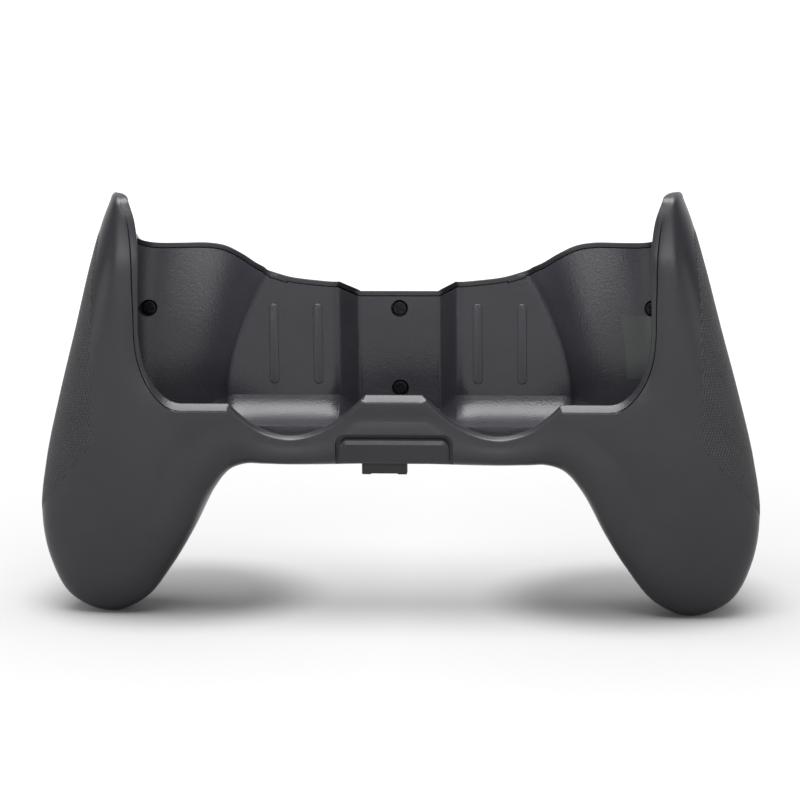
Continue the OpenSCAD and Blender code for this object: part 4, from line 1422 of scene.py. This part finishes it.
def cross_screw(node, seat, tip):
    """A screw whose head ends at seat and whose shank runs to tip."""
    axis = (tip - seat).normalized()
    top = seat - axis * head_height * MM
    bm = rod(top, seat, screw_head / 2 * MM, head_segments)
    near_top = -head_height * head_top_share * MM
    rim_edges = [e for e in bm.edges if all((v.co - seat).dot(axis) < near_top for v in e.verts)]
    rounded(bm, rim_edges, head_round * MM, segments=5)
    piece = mesh_object(closed(bm), node + "_soft")
    shape_with(piece, rod(seat - axis * shank_lap * MM, tip, shank / 2 * MM, shank_segments), "UNION")
    turn = axis.to_track_quat("Z", "Y").to_matrix().to_4x4()
    for quarter in cross_turns:
        bar = slab(Vector((-cross_reach, -cross_half, -cross_above)) * MM,
                   Vector((cross_reach, cross_half, cross_deep)) * MM)
        place = Matrix.Translation(top) @ turn @ Matrix.Rotation(radians(quarter), 4, "Z")
        bmesh.ops.transform(bar, matrix=place, verts=bar.verts)
        shape_with(piece, bar)
    finished(piece, black_steel, "black_screw", "grip", node)


for name, z in zip(("upper", "lower"), spine_screw_z):
    cross_screw("spine_screw_" + name, frame_point(0, spine_seat, z),
                frame_point(0, back_depth - spine_screw_gap, z))
for side, word in sides:
    x = side * side_screw_x
    cross_screw(word + "_side_screw", frame_point(x, side_seat, side_screw_z),
                frame_point(x, back_depth - wall, side_screw_z))
    for (x, z), name in zip(handle_screws, ("low", "high")):
        cross_screw(word + "_handle_screw_" + name, frame_point(side * x, handle_seat, z),
                    frame_point(side * x, handle_seat - handle_screw_length, z))

# %% [markdown]
# ## Bare label
# A thin film in the right channel. It could be a flat card that is shrink-wrapped on the wall, but it
# would then pick up the wall's facets. It follows the line that the liner was drawn from, a little in
# front of it, and is left bare.

# %% Bare label
label_bow = (0.53, 0.89)
label_z = (floor_z + 12.2, floor_z + 33.6)
label_rows = 16
label_columns = 20
label_lift = 0.25
label_thick = 0.12


def label_place(row, column):
    z = mix(label_z[0], label_z[1], row / (label_rows - 1))
    line = cradle_line(z)
    first_bow = fin_column - bow_steps
    at = first_bow + bow_steps * mix(label_bow[0], label_bow[1], column / (label_columns - 1))
    a = line[int(floor(at))]
    b = line[int(ceil(at))]
    out = Vector((b.y - a.y, a.x - b.x)).normalized() if b != a else Vector((0, -1))
    v = a.lerp(b, at - floor(at)) + out * label_lift
    return frame_point(v.x, v.y, z)


label_bm = lofted(label_rows, label_columns, label_place)
bmesh.ops.solidify(label_bm, geom=label_bm.faces, thickness=label_thick * MM)
label = mesh_object(closed(label_bm), "rating_label_bare")
finished(label, label_film, "label_film", "grip", "rating_label")

# %% [markdown]
# ## Pieces that stay as they are
# The board, plug, socket, cells and the lock's hidden pieces have the right shape already. They could
# be made again with softer edges, but they show little or not at all, so they only get a finish.

# %% Finishes for the inner pieces
inner_finishes = {
    "main_board": board_lacquer, "dock_plug": plain_steel, "charge_socket": plain_steel,
    "latch_bar": black_plastic, "lock_guide": inner_plastic}
paired_finishes = {
    "board_screw": plain_steel, "guide_screw": plain_steel, "cell": pouch_foil, "cell_tape": foam_tape,
    "cell_leads": wire_sleeve}
for side, word in sides:
    for piece_name, material in paired_finishes.items():
        inner_finishes[word + "_" + piece_name] = material
for node, material in inner_finishes.items():
    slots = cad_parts[node].data.materials
    slots.clear()
    slots.append(material)
print("inner pieces with a finish:", len(inner_finishes))

# %% [markdown]
# ## The lock's spring
# The coil stands between the latch bar and a stop, and shortens as the lock moves. It could be wound
# again as a curve, but the solid coil has its turns already. A merged copy of it, with a mesh of its
# own, takes the coil's place.

# %% Lock spring
spring_bm = bmesh.new()
spring_bm.from_mesh(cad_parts["lock_spring"].data)
spring = mesh_object(closed(spring_bm), "lock_spring_wire")
finished(spring, plain_steel, "plain_steel", "grip", "lock_spring")
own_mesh(spring)

# %% [markdown]
# ## Stage
# The object stands on white paper, with a soft shadow between its handles. Lamps strong enough to make
# the paper pure white would bleach the object too. So the paper is grey, and what the camera and a
# reflection see of it is lifted towards white, least round the handle tips, where the lift is withheld
# and the darker grey is painted shade that deepens the shadow.

# %% What is seen of the paper
# The centre of the painted shade, beside each handle tip.
painted_shade_spot = (0.078, 0.018, 0)


def seen_rays(tree):
    """1 for rays from the camera and for reflected or transmitted ones, and 0 for the light's bounces."""
    rays = add(tree, "ShaderNodeLightPath")
    total = rays.outputs["Is Camera Ray"]
    for kind in ("Is Glossy Ray", "Is Transmission Ray"):
        either = add(tree, "ShaderNodeMath", {"operation": "MAXIMUM"})
        tree.links.new(total, either.inputs[0])
        tree.links.new(rays.outputs[kind], either.inputs[1])
        total = either.outputs["Value"]
    return total


def from_painted_shade(tree):
    """The distance of a place on the paper from the spot beside the nearer handle tip, where shade is
    painted.
    """
    place = add(tree, "ShaderNodeTexCoord").outputs["Object"]
    one_side = add(tree, "ShaderNodeVectorMath", {"operation": "ABSOLUTE"}, Vector=place)
    beside = add(tree, "ShaderNodeSeparateXYZ", None, Vector=one_side.outputs["Vector"])
    across = add(tree, "ShaderNodeSeparateXYZ", None, Vector=place)
    spot = add(tree, "ShaderNodeCombineXYZ", None, X=beside.outputs["X"], Y=across.outputs["Y"])
    from_spot = add(tree, "ShaderNodeVectorMath", {"operation": "DISTANCE"})
    tree.links.new(spot.outputs["Vector"], from_spot.inputs[0])
    from_spot.inputs[1].default_value = painted_shade_spot
    return from_spot.outputs["Value"]


# %% Stage
# Matt paper has no gloss, and its grey takes the shadow. Round the handle tips its lift is withheld,
# which paints shade there; farther off the lift grows, which paints light over the cast shadow and turns
# the far paper white.
paper_size = 6
paper_grey = 0.26
paper_lift = 0.3
paper_far_lift = 0.95
near_range = (0.026, 0.058)
far_range = (0.06, 0.8)


def paper_with_painted_shade():
    material, tree, shader = new_material("paper_with_painted_shade", Roughness=0.9, Specular_IOR_Level=0)
    shader.inputs["Base Color"].default_value = (paper_grey, paper_grey, paper_grey, 1)
    shader.inputs["Emission Color"].default_value = (1, 1, 1, 1)
    distance = from_painted_shade(tree)
    # Painted shade: close to the spot the paper gets no lift and stays dark grey.
    near = add(tree, "ShaderNodeMapRange",
               {"From Min": near_range[0], "From Max": near_range[1], "To Min": 0, "To Max": paper_lift,
                "interpolation_type": "SMOOTHSTEP"}, Value=distance)
    # Painted light: the lift keeps growing farther off, lightening the cast shadow and whitening the far
    # paper.
    far = add(tree, "ShaderNodeMapRange",
              {"From Min": far_range[0], "From Max": far_range[1], "To Min": 0,
               "To Max": paper_far_lift - paper_lift}, Value=distance)
    both = add(tree, "ShaderNodeMath", {"operation": "ADD"})
    tree.links.new(near.outputs["Result"], both.inputs[0])
    tree.links.new(far.outputs["Result"], both.inputs[1])
    shown = add(tree, "ShaderNodeMath", {"operation": "MULTIPLY"})
    tree.links.new(both.outputs["Value"], shown.inputs[0])
    tree.links.new(seen_rays(tree), shown.inputs[1])
    tree.links.new(shown.outputs["Value"], shader.inputs["Emission Strength"])
    return material


paper_bm = bmesh.new()
bmesh.ops.create_grid(paper_bm, x_segments=1, y_segments=1, size=paper_size)
paper = mesh_object(paper_bm, "studio_floor")
paper.data.materials.append(paper_with_painted_shade())
print("the paper is", 2 * paper_size, "m wide")

# %% [markdown]
# ## Light
# The photograph has soft light from above, a weaker one from the front and faint ones from the sides. A
# picture of a studio could light it from all round. A few large lamps and a plain world that is white
# behind the object and darker on the camera's side are easier to tune.

# %% World
room_turn = (-0.2, 0.7)
room_light = (0.06, 1.0)
world = bpy.data.worlds.new("studio")
world.use_nodes = True
scene.world = world
sky = world.node_tree
aimed = add(sky, "ShaderNodeSeparateXYZ", None, Vector=add(sky, "ShaderNodeTexCoord").outputs["Generated"])
front_back = add(sky, "ShaderNodeMapRange",
                 {"From Min": room_turn[0], "From Max": room_turn[1], "To Min": room_light[0],
                  "To Max": room_light[1]}, Value=aimed.outputs["Y"])
background = sky.nodes["Background"]
background.inputs["Color"].default_value = (1, 1, 1, 1)
sky.links.new(front_back.outputs["Result"], background.inputs["Strength"])
print("world:", world.name)


# %% Lamps
def softbox(name, place, target, width, height, watts):
    lamp = bpy.data.lights.new(name, "AREA")
    lamp.shape = "RECTANGLE"
    lamp.size = width
    lamp.size_y = height
    lamp.energy = watts
    holder = bpy.data.objects.new(name, lamp)
    scene.collection.objects.link(holder)
    holder.location = place
    holder.rotation_euler = (Vector(target) - Vector(place)).to_track_quat("-Z", "Y").to_euler()
    print(name, "gives", watts, "W")


softbox("overhead_softbox", place=(-0.05, -0.17, 1.17), target=(0, 0, 0.08), width=1.05, height=1.0,
        watts=35)
softbox("front_softbox", place=(0.0, -1.5, 0.55), target=(0, 0, 0.09), width=1.7, height=0.34, watts=11)
for side, word in sides:
    softbox(word + "_softbox", place=(0.8 * side, -0.45, 0.13), target=(0, 0, 0.09), width=0.3, height=0.24,
            watts=0.35)

# %% [markdown]
# ## Camera
# The photograph was taken from the front, a little to the right and above, with a slight lean. The
# camera could be placed by eye in the viewport. Here two angles, a distance and the width of the view
# say where it is, so that each can be changed by itself.

# %% Camera
camera_azimuth = radians(4.5)
camera_elevation = radians(11)
camera_distance = 1.0
camera_roll = radians(-0.6)
photo_width_mm = 264
sensor_mm = 36
aim = Vector((1.1, -5.8, 72.6)) * MM
camera_data = bpy.data.cameras.new("camera")
camera_data.sensor_width = sensor_mm
camera_data.lens = sensor_mm * camera_distance / (photo_width_mm * MM)
camera = bpy.data.objects.new("camera", camera_data)
scene.collection.objects.link(camera)
level_reach = cos(camera_elevation)
toward = Vector((sin(camera_azimuth) * level_reach, -cos(camera_azimuth) * level_reach,
                 sin(camera_elevation)))
camera.location = aim + toward * camera_distance
look = (-toward).to_track_quat("-Z", "Y").to_matrix().to_4x4()
camera.rotation_euler = (look @ Matrix.Rotation(camera_roll, 4, "Z")).to_euler()
scene.camera = camera
scene.view_settings.view_transform = "Standard"
print("the lens is", round(camera_data.lens), "mm long")
